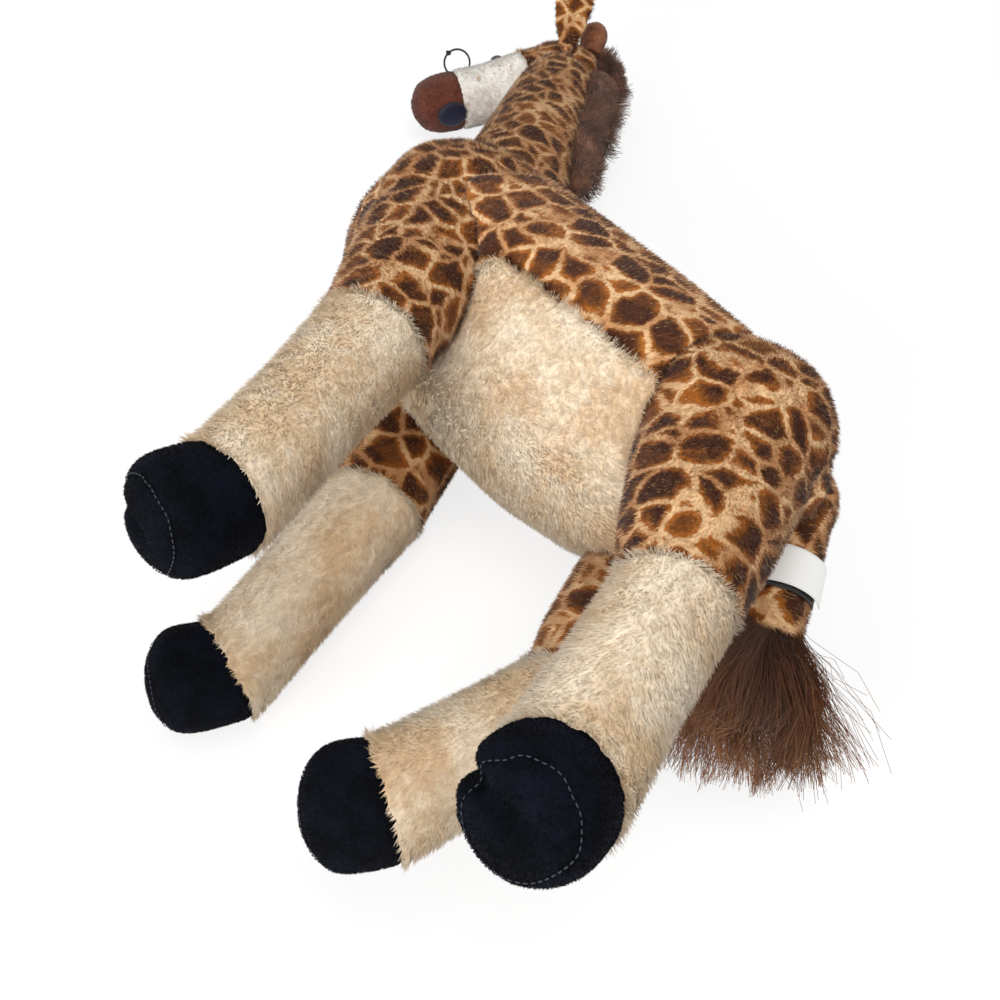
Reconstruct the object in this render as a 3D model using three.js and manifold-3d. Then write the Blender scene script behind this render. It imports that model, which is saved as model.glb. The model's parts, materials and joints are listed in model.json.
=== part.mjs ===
// A plush giraffe, about 0.7 m tall when it stands, lying on its right side as it was put down.
// Pieces are drawn in the animal's own axes, x to the head, y to its left, z to its back, and
// are then laid on the floor. Lengths are millimetres and angles are degrees.
import * as THREE from 'three';
import { mergeVertices } from 'three/addons/utils/BufferGeometryUtils.js';
import Module from 'manifold-3d';

const wasm = await Module();
wasm.setup();

// Cloth and clearances
const PELT = 4;
const SEAM_GAP = 0.3;
const SWING_GAP = 0.8;
const REACH = 900;
const FLAT_DEPTH = 0.5;

// Counts of faces
const TORSO_SIDES = 18;
const LIMB_SIDES = 12;
const CORE_SIDES = 8;
const ROOM_SIDES = 12;
const ROOT_SIDES = 14;
const ROOT_RINGS = 4;
const FAN_STEPS = 2;
const DOME_STEPS = 2;
const ROUND_SIDES = 12;

// How the animal lies: the heading of its head end, and how far its back is turned down
const HEADING = 130;
const ROLL = 12;

// Torso
const TORSO_LENGTH = 420;
const TORSO_HALF_HEIGHT = 97;
const TORSO_HALF_WIDTH = 96;
const TORSO_REAR_X = -200;
// Each row: place along the length, half height, half width, rise of the centre
const TORSO_SHARES = [
  [0.015, 0.24, 0.26, 0.2],
  [0.06, 0.52, 0.54, 0.14],
  [0.14, 0.775, 0.8, 0.045],
  [0.25, 0.905, 0.94, -0.095],
  [0.4, 0.985, 1, -0.135],
  [0.57, 1, 1, -0.12],
  [0.72, 0.99, 1, -0.03],
  [0.83, 0.91, 0.93, 0.07],
  [0.915, 0.72, 0.76, 0.15],
  [0.975, 0.44, 0.46, 0.23],
];
const BELLY_FRONT_X = 62;
const BELLY_REAR_X = -130;
const BELLY_SEAM_ANGLE = 30;
const BELLY_AXIS_SHARE = -0.12;

// Legs: the shoulder and hip are flat balls that turn in the torso's side
const FRONT = {
  hipX: 132, hipY: 60, hipZ: -2, ball: 64, halfBall: 37,
  upper: 172, sock: 153, hoof: 33,
  thick: [50, 54, 43, 36, 32, 33], wide: [30, 34, 36, 36, 32, 33], hoofRadius: 34,
};
const HIND = {
  hipX: -136, hipY: 58, hipZ: -14, ball: 61, halfBall: 39,
  upper: 148, sock: 122, hoof: 28,
  thick: [48, 50, 41, 32, 31, 33], wide: [30, 33, 34, 32, 31, 33], hoofRadius: 34,
};
const LEG_MIDDLE_SHARES = [0.35, 0.75, 0.5];
const LEG_SWING = 14;
// Pose of each leg: how far each length leans back and out from straight down
const LEG_POSES = {
  left_front: { set: FRONT, side: 1, back: [32, 25.5, 0], out: [-6, -4.5, 3] },
  right_front: { set: FRONT, side: -1, back: [36, 20, -30], out: [10.2, 11, 13] },
  left_hind: { set: HIND, side: 1, back: [29, 19, 13], out: [-6, -6, 27] },
  right_hind: { set: HIND, side: -1, back: [15.5, -2.7, -42], out: [3.5, -1.5, 26] },
};
const SOLE_DEPTH = 9;
const CLEFT_WIDTH = 7;
const CLEFT_DEPTH = 12;

// Neck
const NECK_X = 180;
const NECK_Z = 78;
const NECK_BALL = 52;
const NECK_LENGTH = 322;
const NECK_RISE = 52.6;
const NECK_LEAN = 2.2;
const NECK_THICK = [50, 46, 42, 39, 38];
const NECK_WIDE = [46, 43, 38, 35, 34];
const NECK_SHARES = [0, 0.25, 0.55, 0.8, 0.96];
const NECK_SWING = 8;

// Head
const SKULL = 42;
const SKULL_HALF_WIDTH = 36;
const HEAD_LENGTH = 136;
const HEAD_DROP = 67.9;
const HEAD_LEAN = -13.4;
const HEAD_THICK = [38, 35, 29, 28, 28];
const HEAD_WIDE = [33, 33, 28, 29, 28];
const HEAD_SHARES = [0, 0.3, 0.62, 0.84, 1];
const FACE_START_SHARE = 0.3;
const MUZZLE_START_SHARE = 0.83;
const MUZZLE_ROUND_SHARE = 0.9;
const HEAD_SWING = 8;
const TONGUE = { long: 32, wide: 26, thick: 9, share: 0.93 };
const EYE = { radius: 7, tall: 4.5, share: 0.46, turn: 44 };
const SHANK = { radius: 2, depth: 12 };
const WASHER = { radius: 7, thick: 1.6, depth: 7 };
const HORN = { long: 38, radius: 14, poll: 34.8, aside: 12.8, crown: 8 };
const HORN_SHARES = [1, 0.9, 0.95, 1];
// Direction of each horn as shares toward the poll, the crown and the left
const HORN_WAY_SHARES = { left: [0.5, 0.7, 0.5], right: [0.6, 0.75, 0] };

// Ears
const EAR = { long: 92, wide: 21, thick: 4.4, lining: 2, ball: 6 };
const EAR_WIDE_SHARES = [0.42, 0.8, 1, 0.86, 0.42];
const EAR_ALONG_SHARES = [0.04, 0.28, 0.52, 0.78, 0.97];
const LINING_WIDE_SHARE = 0.72;
const LINING_ALONG_SHARES = [0.16, 0.34, 0.54, 0.74, 0.88];
const EAR_SWING = 12;
// Root and direction of each ear in the animal's axes, and where its patterned back faces
const LEFT_EAR = { root: [-8, 34, -9], way: [0.54, 0.65, 0.54], back: [-0.382, 0.758, -0.528] };
const RIGHT_EAR = { root: [-9, -31, -4], way: [-0.585, -0.23, -0.768], back: [0, -0.978, 0.208] };

// Mane
const MANE = { tall: 30, half: 25, pollTall: 25, pollHalf: 23 };
// Each row: place along the neck, height, half width
const MANE_SHARES = [
  [0.25, 0.35, 0.5],
  [0.32, 0.8, 0.85],
  [0.5, 0.9, 1],
  [0.72, 1, 1],
  [0.95, 1, 1],
  [1.05, 0.95, 0.95],
];
const POLL_TURNS = [92, 70, 50, 32, 20];
const POLL_SHARES = [1, 1, 0.95, 0.7, 0.3];
const MANE_END_TURN = 101;
const WITHERS = { front: 132, rear: 80, tall: 14, half: 12 };
const WITHERS_SHARES = [0.55, 0.9, 1, 0.9, 0.55];

// Tail
const TAIL = { x: -176, y: 2, z: 22, ball: 26, long: 92, tuft: 104 };
const TAIL_THICK = [23, 22, 20];
const TAIL_BACK = 33;
const TAIL_OUT = -22;
const TAIL_SWING = 12;
const EAR_ROOM_SIDES = 8;
const TUFT_THICK_SHARES = [0.17, 0.32, 0.46, 0.54, 0.32];
const TUFT_ALONG_SHARES = [0, 0.2, 0.5, 0.8, 1];
const TUFT_WIDE_SHARES = [0.17, 0.22, 0.27, 0.26, 0.14];
const TUFT_BACK = 51;
const TUFT_OUT = -37;

// Sewn label and hang tag loop
const LABEL = { wide: 25, thick: 1, gape: 0.8, share: 0.6, from: -72, to: 38, steps: 8 };
const LOOP = { cord: 2, radius: 13, rise: 8.5, knot: 2.6, knotTurn: 132, steps: 24, sides: 6 };
const LOOP_SHARE = 0.83;
// Where the photograph was taken from, as a direction in the animal's axes, and its upright
const VIEW_WAY = [-0.51, 0.556, -0.65];
const VIEW_UP = [0.587, 0.731, 0.348];

const toRadians = THREE.MathUtils.degToRad;
const X_AXIS = new THREE.Vector3(1, 0, 0);
const Y_AXIS = new THREE.Vector3(0, 1, 0);
const Z_AXIS = new THREE.Vector3(0, 0, 1);
const half = (length) => length / 2;

// A direction that leans back and out from straight down
function downward(back, out, side = 1) {
  const b = toRadians(back);
  const o = toRadians(out);
  return new THREE.Vector3(-Math.sin(b) * Math.cos(o), side * Math.sin(o), -Math.cos(b) * Math.cos(o));
}

const onFrom = (point, direction, length) => point.clone().addScaledVector(direction, length);

// Solids from closed meshes
function solid(geometry) {
  const bare = geometry.clone();
  bare.deleteAttribute('normal');
  bare.deleteAttribute('uv');
  const merged = mergeVertices(bare, 1e-4);
  const made = new wasm.Manifold(new wasm.Mesh({
    numProp: 3,
    vertProperties: new Float32Array(merged.attributes.position.array),
    triVerts: new Uint32Array(merged.index.array),
  }));
  return made;
}

function largest(made) {
  const bodies = made.decompose();
  return bodies.reduce((best, next) => (next.volume() > best.volume() ? next : best));
}

// The way that a chain of stations runs at one of them
function wayAt(stations, i) {
  const before = stations[Math.max(i - 1, 0)].at;
  const after = stations[Math.min(i + 1, stations.length - 1)].at;
  return after.clone().sub(before).normalize();
}

const withWays = (stations) => stations.map((station, i) => ({ ...station, along: wayAt(stations, i) }));

// A skin through rings: each station has a place, its thickness fore and aft, its width, and how
// far the ring is drawn out to both sides of the swing
function sweep(stations, sides) {
  const points = [];
  const faces = [];
  stations.forEach((station, i) => {
    const along = station.along ?? wayAt(stations, i);
    const across = (station.across ?? Y_AXIS).clone();
    const fore = new THREE.Vector3().crossVectors(across, along).normalize();
    across.crossVectors(along, fore).normalize();
    for (let k = 0; k < sides; k += 1) {
      const turn = ((k + 0.5) / sides) * 2 * Math.PI;
      const draw = Math.sign(Math.cos(turn)) * (station.draw ?? 0);
      const point = station.at.clone();
      point.addScaledVector(fore, station.thick * Math.cos(turn) + draw);
      point.addScaledVector(across, station.wide * Math.sin(turn));
      points.push(point.x, point.y, point.z);
    }
  });
  const last = stations.length - 1;
  for (let i = 0; i < last; i += 1) {
    for (let k = 0; k < sides; k += 1) {
      const a = i * sides + k;
      const b = i * sides + ((k + 1) % sides);
      faces.push(a, b, b + sides, a, b + sides, a + sides);
    }
  }
  const start = points.length / 3;
  points.push(...stations[0].at.toArray(), ...stations[last].at.toArray());
  for (let k = 0; k < sides; k += 1) {
    const next = (k + 1) % sides;
    faces.push(start, next, k);
    faces.push(start + 1, last * sides + k, last * sides + next);
  }
  const geometry = new THREE.BufferGeometry();
  geometry.setAttribute('position', new THREE.BufferAttribute(new Float32Array(points), 3));
  geometry.setIndex(faces);
  return solid(geometry);
}

// Rounded end of a sweep: rings that close in over the last radius
function dome(at, direction, thick, wide, tall, across) {
  const rings = [];
  for (let i = 1; i <= DOME_STEPS; i += 1) {
    const turn = (i / (DOME_STEPS + 0.5)) * half(Math.PI);
    rings.push({
      at: onFrom(at, direction, tall * Math.sin(turn)),
      thick: thick * Math.cos(turn), wide: wide * Math.cos(turn), across,
    });
  }
  return rings;
}

// A ball drawn out along the swing axis, its facets turned by a share of one side
function ball(centre, radius, halfWidth, turnShare = 0) {
  const geometry = new THREE.SphereGeometry(1, ROOT_SIDES, ROOT_RINGS);
  geometry.rotateY((turnShare * 2 * Math.PI) / ROOT_SIDES);
  geometry.scale(radius, halfWidth, radius);
  geometry.translate(centre.x, centre.y, centre.z);
  return solid(geometry);
}

// The room that a ball turns in
function socket(centre, radius, halfWidth) {
  const grow = 1 / Math.cos(Math.PI / ROOT_SIDES);
  return ball(centre, (radius + SWING_GAP) * grow, halfWidth + SEAM_GAP, 0.5);
}

// A big block whose face is at a point and which lies on the side that the direction names
function beyond(point, direction, gap = 0) {
  const geometry = new THREE.BoxGeometry(REACH, REACH, REACH);
  geometry.applyQuaternion(new THREE.Quaternion().setFromUnitVectors(Z_AXIS, direction));
  const middle = onFrom(point, direction, half(REACH) + gap);
  geometry.translate(middle.x, middle.y, middle.z);
  return solid(geometry);
}

const inset = (station, by) => ({ ...station, thick: station.thick - by, wide: station.wide - by });

// The room that a limb sweeps as it swings by a range to both sides
function swept(hinge, stations, range) {
  const spread = Math.tan(toRadians(range));
  const lengthen = 1 / Math.cos(toRadians(range));
  const coarse = 1 / Math.cos(Math.PI / ROOM_SIDES);
  return sweep(stations.map((station) => {
    const away = station.at.distanceTo(hinge);
    return {
      ...station,
      thick: (station.thick + SWING_GAP) * lengthen * lengthen * coarse,
      wide: (station.wide + SWING_GAP) * coarse,
      draw: away * spread,
    };
  }), ROOM_SIDES);
}

// A solid turned about an axis through a hinge
function turned(made, hinge, axis, angle) {
  const turn = new THREE.Matrix4().makeRotationAxis(axis, toRadians(angle));
  turn.setPosition(hinge.clone().sub(hinge.clone().applyMatrix4(turn)));
  return made.transform(turn.elements);
}

// The room that a solid sweeps, from copies turned step by step
function fanned(made, hinge, axis, range) {
  let room = made;
  for (let i = 1; i <= FAN_STEPS; i += 1) {
    const angle = (i / FAN_STEPS) * range;
    room = room.add(turned(made, hinge, axis, angle)).add(turned(made, hinge, axis, -angle));
  }
  return room;
}

// Torso
function torsoForm(by) {
  const stations = TORSO_SHARES.map(([along, height, width, rise]) => ({
    at: new THREE.Vector3(TORSO_REAR_X + along * TORSO_LENGTH, 0, rise * TORSO_HALF_HEIGHT),
    thick: height * TORSO_HALF_HEIGHT - by,
    wide: width * TORSO_HALF_WIDTH - by,
  }));
  stations[0].at.x += by;
  stations[stations.length - 1].at.x -= by;
  return sweep(stations, TORSO_SIDES);
}

// Legs
function legPlan(name) {
  const { set, side, back, out } = LEG_POSES[name];
  const hip = new THREE.Vector3(set.hipX, side * set.hipY, set.hipZ);
  const ways = back.map((angle, i) => downward(angle, out[i], side));
  const knee = onFrom(hip, ways[0], set.upper);
  const fetlock = onFrom(knee, ways[1], set.sock);
  const end = onFrom(fetlock, ways[2], set.hoof);
  const [first, second, third] = LEG_MIDDLE_SHARES;
  const places = [hip, onFrom(hip, ways[0], first * set.upper), onFrom(hip, ways[0], second * set.upper),
    knee, onFrom(knee, ways[1], third * set.sock), fetlock];
  const stations = withWays(places.map((at, i) => ({ at, thick: set.thick[i], wide: set.wide[i] })));
  stations[stations.length - 1].along = ways[1].clone().add(ways[2]).normalize();
  return { name, set, side, hip, knee, fetlock, end, ways, stations };
}

function legRings(plan, by) {
  const { set, end, ways, stations } = plan;
  const tip = ways[2];
  const rings = stations.map((station) => inset(station, by));
  const round = set.hoofRadius - by;
  rings.push({ at: onFrom(end, tip, -half(set.hoof)), thick: round, wide: round });
  rings.push({ at: end, thick: round, wide: round });
  rings.push(...dome(end, tip, round, round, half(round)));
  return rings;
}

function legForm(plan) {
  const { set, hip } = plan;
  return ball(hip, set.ball, set.halfBall).add(sweep(legRings(plan, 0), LIMB_SIDES));
}

// The stuffing's form starts with its own rounded end inside the ball
function coreForm(rings, wayBack) {
  const first = rings[0];
  const top = dome(first.at, wayBack, first.thick, first.wide, first.wide).reverse();
  return sweep([...top, ...rings], CORE_SIDES);
}

const legCore = (plan, by) => coreForm(legRings(plan, by), plan.ways[0].clone().negate());

function legRoom(plan) {
  const { set, hip, stations } = plan;
  return socket(hip, set.ball, set.halfBall).add(swept(hip, stations.slice(0, 4), LEG_SWING));
}

function legPieces(plan) {
  const { name, knee, fetlock, end, ways, set } = plan;
  const shell = legForm(plan).subtract(legCore(plan, PELT));
  const soleAt = onFrom(end, ways[2], half(set.hoofRadius) - SOLE_DEPTH);
  const kneeWay = ways[0].clone().add(ways[1]).normalize();
  const fetlockWay = ways[1].clone().add(ways[2]).normalize();
  const belowKnee = (gap) => beyond(knee, kneeWay, gap);
  const belowFetlock = (gap) => beyond(fetlock, fetlockWay, gap);
  const belowSole = (gap) => beyond(soleAt, ways[2], gap);
  const cleft = new THREE.BoxGeometry(CLEFT_DEPTH * 2, CLEFT_WIDTH, CLEFT_DEPTH * 2);
  cleft.rotateY(half(half(Math.PI)));
  const front = new THREE.Vector3().crossVectors(Y_AXIS, ways[2]).normalize();
  const notchAt = onFrom(onFrom(end, ways[2], half(set.hoofRadius)), front, -set.hoofRadius);
  cleft.translate(notchAt.x, notchAt.y, notchAt.z);
  const notch = solid(cleft);
  return {
    [`${name}_leg_sleeve`]: [largest(shell.subtract(belowKnee(-half(SEAM_GAP)))), SPOTTED],
    [`${name}_leg_sock`]: [largest(shell.intersect(belowKnee(half(SEAM_GAP)))
      .subtract(belowFetlock(-half(SEAM_GAP)))), CREAM],
    [`${name}_hoof`]: [largest(shell.intersect(belowFetlock(half(SEAM_GAP)))
      .subtract(belowSole(-half(SEAM_GAP))).subtract(notch)), VELOUR],
    [`${name}_sole`]: [largest(shell.intersect(belowSole(half(SEAM_GAP))).subtract(notch)), VELOUR],
    [`${name}_leg_stuffing`]: [legCore(plan, PELT + SEAM_GAP), STUFFING],
  };
}

// Materials
const finish = (color, roughness) => new THREE.MeshStandardMaterial({ color, roughness, metalness: 0 });
const SPOTTED = finish('#a2703f', 0.95);
const CREAM = finish('#d8bd98', 0.95);
const VELOUR = finish('#1b1e29', 0.9);
const STUFFING = finish('#f2efe8', 1);
const WHITE = finish('#e8e4da', 0.95);
const BROWN = finish('#5f3a28', 0.95);
const NAVY = finish('#1a1f45', 0.7);
const BLACK_PLASTIC = finish('#0d0b0a', 0.15);
const CLEAR_PLASTIC = finish('#d9d9d4', 0.4);
const TAPE = finish('#e9e9e6', 0.6);
const ELASTIC = finish('#101010', 0.7);

// The lying pose
const LYING = new THREE.Matrix4();
{
  const nose = new THREE.Vector3(Math.cos(toRadians(HEADING)), Math.sin(toRadians(HEADING)), 0);
  const dorsal = new THREE.Vector3().crossVectors(nose, Z_AXIS);
  const left = Z_AXIS.clone().multiplyScalar(Math.cos(toRadians(ROLL)));
  left.addScaledVector(dorsal, Math.sin(toRadians(ROLL)));
  LYING.makeBasis(nose, left, new THREE.Vector3().crossVectors(nose, left));
}

// Every piece by name, in the animal's axes
const legs = Object.keys(LEG_POSES).map(legPlan);

const neckHinge = new THREE.Vector3(NECK_X, 0, NECK_Z);
const neckWay = downward(-90 - NECK_RISE, NECK_LEAN);
const headHinge = onFrom(neckHinge, neckWay, NECK_LENGTH);
const headWay = downward(-90 + HEAD_DROP, HEAD_LEAN);
const neckStations = withWays(NECK_SHARES.map((share, i) => ({
  at: onFrom(neckHinge, neckWay, share * NECK_LENGTH), thick: NECK_THICK[i], wide: NECK_WIDE[i],
})));
const headStations = withWays(HEAD_SHARES.map((share, i) => ({
  at: onFrom(headHinge, headWay, share * HEAD_LENGTH), thick: HEAD_THICK[i], wide: HEAD_WIDE[i],
})));

const neckForm = ball(neckHinge, NECK_BALL, NECK_BALL).add(sweep(neckStations, LIMB_SIDES));

function neckCore(by) {
  return coreForm(neckStations.map((station) => inset(station, by)), neckWay.clone().negate());
}

const vector = (shares) => new THREE.Vector3(...shares);

// The head's own sides: left, crown (forehead) and poll
const headSide = Y_AXIS.clone().addScaledVector(headWay, -Y_AXIS.dot(headWay)).normalize();
const crownWay = new THREE.Vector3().crossVectors(headWay, headSide);
const pollWay = headWay.clone().negate();

// A round rod from one place to another along a direction
function rod(at, way, radius, from, to) {
  const across = Math.abs(way.y) > Math.SQRT1_2 ? X_AXIS : Y_AXIS;
  const stations = [from, to].map((place) => ({
    at: onFrom(at, way, place), thick: radius, wide: radius, across, along: way,
  }));
  return sweep(stations, ROUND_SIDES);
}

function headRings(by) {
  const rings = headStations.map((station) => inset(station, by));
  const last = rings[rings.length - 1];
  rings.push(...dome(last.at, headWay, last.thick, last.wide, last.wide * MUZZLE_ROUND_SHARE));
  return rings;
}

const headForm = ball(headHinge, SKULL, SKULL_HALF_WIDTH).add(sweep(headRings(0), LIMB_SIDES));
const headCore = (by) => coreForm(headRings(by), headWay.clone().negate());

const neckRoom = socket(neckHinge, NECK_BALL, NECK_BALL)
  .add(swept(neckHinge, neckStations.slice(0, 3), NECK_SWING));
const headRoom = socket(headHinge, SKULL, SKULL_HALF_WIDTH)
  .add(swept(headHinge, headStations.slice(0, 3), HEAD_SWING));

const tailHinge = new THREE.Vector3(TAIL.x, TAIL.y, TAIL.z);
const tailWay = downward(TAIL_BACK, TAIL_OUT);
const tailEnd = onFrom(tailHinge, tailWay, TAIL.long);
const tuftWay = downward(TUFT_BACK, TUFT_OUT);
const tailStations = withWays(TAIL_THICK.map((thick, i) => ({
  at: onFrom(tailHinge, tailWay, (i / (TAIL_THICK.length - 1)) * TAIL.long), thick, wide: thick,
})));

const tailForm = ball(tailHinge, TAIL.ball, TAIL.ball).add(sweep(tailStations, LIMB_SIDES));

function tailCore(by) {
  return coreForm(tailStations.map((station) => inset(station, by)), tailWay.clone().negate());
}

// The tuft of long hair that ends the tail
const tuftStations = withWays(TUFT_ALONG_SHARES.map((share, i) => ({
  at: onFrom(tailEnd, tuftWay, share * TAIL.tuft),
  thick: TUFT_THICK_SHARES[i] * TAIL.tuft, wide: TUFT_WIDE_SHARES[i] * TAIL.tuft,
})));

const tailRoom = socket(tailHinge, TAIL.ball, TAIL.ball).add(swept(tailHinge, tailStations, TAIL_SWING));

function torsoTop(x) {
  const share = (x - TORSO_REAR_X) / TORSO_LENGTH;
  const i = TORSO_SHARES.findIndex(([along]) => along >= share);
  const [before, after] = [TORSO_SHARES[i - 1], TORSO_SHARES[i]];
  const part = (share - before[0]) / (after[0] - before[0]);
  const [tall, rise] = [1, 3].map((k) => THREE.MathUtils.lerp(before[k], after[k], part));
  return (tall + rise) * TORSO_HALF_HEIGHT;
}

// Sewn label: a folded tape that lies around the tail
const viewWay = vector(VIEW_WAY).normalize();
const labelWay = viewWay.clone().addScaledVector(tailWay, -viewWay.dot(tailWay)).normalize();
const labelSide = new THREE.Vector3().crossVectors(tailWay, labelWay);
const labelRadius = TAIL_THICK[1] + SEAM_GAP;
function labelArc(radius, from, to) {
  const points = [];
  for (let i = 0; i <= LABEL.steps; i += 1) {
    const turn = toRadians(THREE.MathUtils.lerp(from, to, i / LABEL.steps));
    points.push(new THREE.Vector2(radius * Math.cos(turn), radius * Math.sin(turn)));
  }
  return points;
}
const layers = [0, LABEL.thick, LABEL.thick + LABEL.gape, LABEL.thick * 2 + LABEL.gape];
const [innerUnder, innerTop, outerUnder, outerTop] = layers.map((layer) => labelRadius + layer);
const fold = LABEL.to - THREE.MathUtils.radToDeg(LABEL.thick / labelRadius);
const labelShape = new THREE.Shape([
  ...labelArc(innerUnder, LABEL.from, LABEL.to), ...labelArc(outerTop, LABEL.to, LABEL.from),
  ...labelArc(outerUnder, LABEL.from, fold), ...labelArc(innerTop, fold, LABEL.from),
]);
const label = new THREE.ExtrudeGeometry(labelShape, { depth: LABEL.wide, bevelEnabled: false });
const labelAt = onFrom(tailHinge, tailWay, LABEL.share * TAIL.long - half(LABEL.wide));
label.applyMatrix4(new THREE.Matrix4().makeBasis(labelWay, labelSide, tailWay).setPosition(labelAt));
const labelForm = solid(label);

const labelRoomRadius = (outerTop + SWING_GAP) / Math.cos(Math.PI / ROUND_SIDES);
const labelSpace = rod(labelAt, tailWay, labelRoomRadius, -SEAM_GAP, LABEL.wide + SEAM_GAP);
const labelRoom = fanned(labelSpace, tailHinge, Y_AXIS, TAIL_SWING);

const pieces = {};

// Torso pieces
const rooms = [...legs.map(legRoom), neckRoom, tailRoom, labelRoom];
const cutRooms = (made) => rooms.reduce((left, room) => left.subtract(room), made);
const torsoShell = cutRooms(torsoForm(0).subtract(torsoForm(PELT)));

function bellyWedge(gap) {
  const drop = Math.tan(toRadians(BELLY_SEAM_ANGLE)) * REACH;
  const axis = BELLY_AXIS_SHARE * TORSO_HALF_HEIGHT - gap;
  const section = new THREE.Shape([
    new THREE.Vector2(0, axis),
    new THREE.Vector2(-REACH, axis - drop),
    new THREE.Vector2(REACH, axis - drop),
  ]);
  const length = BELLY_FRONT_X - BELLY_REAR_X - gap * 2;
  const wedge = new THREE.ExtrudeGeometry(section, { depth: length, bevelEnabled: false });
  wedge.applyMatrix4(new THREE.Matrix4().makeBasis(Y_AXIS, Z_AXIS, X_AXIS));
  wedge.translate(BELLY_REAR_X + gap, 0, 0);
  return solid(wedge);
}
pieces.torso_pelt = [largest(torsoShell.subtract(bellyWedge(-half(SEAM_GAP)))), SPOTTED];
pieces.belly_panel = [largest(torsoShell.intersect(bellyWedge(half(SEAM_GAP)))), CREAM];
pieces.torso_stuffing = [largest(cutRooms(torsoForm(PELT + SEAM_GAP))), STUFFING];

// Horns, ears and mane on the head
function hornForm(side, by) {
  const [poll, crown, left] = HORN_WAY_SHARES[side];
  const way = onFrom(onFrom(new THREE.Vector3(), pollWay, poll), crownWay, crown);
  way.addScaledVector(headSide, left).normalize();
  const sign = side === 'left' ? 1 : -1;
  const base = onFrom(onFrom(headHinge, pollWay, HORN.poll), crownWay, HORN.crown);
  base.addScaledVector(headSide, sign * HORN.aside);
  const last = HORN_SHARES.length - 1;
  const stations = HORN_SHARES.map((share, i) => ({
    at: onFrom(base, way, (i / last) * (HORN.long - HORN.radius)),
    thick: share * HORN.radius + by, wide: share * HORN.radius + by,
  }));
  const { at, thick } = stations[last];
  return sweep([...stations, ...dome(at, way, thick, thick, HORN.radius + by)], ROUND_SIDES);
}

function earPlan(ear) {
  const root = headHinge.clone().add(vector(ear.root));
  const way = vector(ear.way).normalize();
  const back = vector(ear.back);
  back.addScaledVector(way, -back.dot(way)).normalize();
  const across = new THREE.Vector3().crossVectors(way, back).normalize();
  return { root, way, back, across };
}

function leaf(plan, alongShares, widest, thick, lift, by) {
  const stations = alongShares.map((share, i) => ({
    at: onFrom(onFrom(plan.root, plan.way, share * EAR.long), plan.back, lift),
    thick: half(thick) + by, wide: EAR_WIDE_SHARES[i] * widest + by,
    across: plan.across, along: plan.way,
  }));
  return sweep(stations, LIMB_SIDES);
}

function earForm(plan, by) {
  const geometry = new THREE.SphereGeometry(EAR.ball + by, CORE_SIDES, ROOT_RINGS);
  geometry.translate(plan.root.x, plan.root.y, plan.root.z);
  return solid(geometry).add(leaf(plan, EAR_ALONG_SHARES, EAR.wide, EAR.thick, 0, by));
}

// Thickness that an ear and its lining take, the same to both sides
const earSpace = EAR.thick + (EAR.lining + SWING_GAP) * 2;

// The room at an ear's root: the left ear flaps, the right one turns in its own plane
function earRoom(plan, flaps) {
  const across = flaps ? plan.across : plan.back;
  const stations = [0, 1].map((i) => {
    const [flat, width] = [half(earSpace), EAR_WIDE_SHARES[i] * EAR.wide];
    return {
      at: onFrom(plan.root, plan.way, i === 0 ? -half(EAR.ball) : EAR_ALONG_SHARES[i] * EAR.long),
      across, along: plan.way,
      thick: flaps ? flat : width, wide: flaps ? width : flat,
    };
  });
  const geometry = new THREE.SphereGeometry(EAR.ball + SWING_GAP * 2, EAR_ROOM_SIDES, ROOT_RINGS);
  geometry.translate(plan.root.x, plan.root.y, plan.root.z);
  return solid(geometry).add(swept(plan.root, stations, EAR_SWING));
}

const leftEar = earPlan(LEFT_EAR);
const rightEar = earPlan(RIGHT_EAR);
const earRooms = [earRoom(leftEar, true), earRoom(rightEar, false)];

// Neck pieces
const neckDorsal = new THREE.Vector3().crossVectors(Y_AXIS, neckWay).normalize().negate();
const neckOuter = sweep(neckStations.map((station) => inset(station, -SEAM_GAP)), LIMB_SIDES);
const onHead = [leftEar, rightEar].map((plan) => earForm(plan, SWING_GAP)
  .add(leaf(plan, EAR_ALONG_SHARES, EAR.wide, earSpace, 0, SWING_GAP)));
onHead.push(hornForm('left', SWING_GAP), hornForm('right', SWING_GAP));
const onHeadRoom = onHead.map((made) => fanned(made, headHinge, Y_AXIS, HEAD_SWING));
const headRooms = [headRoom, ...onHeadRoom];
const cutHead = (made) => largest(headRooms.reduce((left, room) => left.subtract(room), made));
pieces.neck_pelt = [cutHead(neckForm.subtract(neckCore(PELT))), SPOTTED];
pieces.neck_stuffing = [cutHead(neckCore(PELT + SEAM_GAP)), STUFFING];

function neckRadius(share) {
  const i = Math.max(NECK_SHARES.findIndex((place) => place >= share), 0) || NECK_SHARES.length - 1;
  const part = (share - NECK_SHARES[i - 1]) / (NECK_SHARES[i] - NECK_SHARES[i - 1]);
  return THREE.MathUtils.lerp(NECK_THICK[i - 1], NECK_THICK[i], Math.min(part, 1));
}
const maneForm = sweep(MANE_SHARES.map(([share, tall, width]) => ({
  at: onFrom(onFrom(neckHinge, neckWay, share * NECK_LENGTH), neckDorsal, neckRadius(share)),
  thick: tall * MANE.tall, wide: width * MANE.half, along: neckWay,
})), ROUND_SIDES);
const aroundPoll = (turn) => neckWay.clone().applyAxisAngle(Y_AXIS, -toRadians(turn));
const maneEnd = beyond(headHinge, aroundPoll(MANE_END_TURN - 90), 0);
pieces.neck_mane = [cutHead(maneForm.subtract(neckOuter).subtract(maneEnd)), BROWN];

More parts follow.
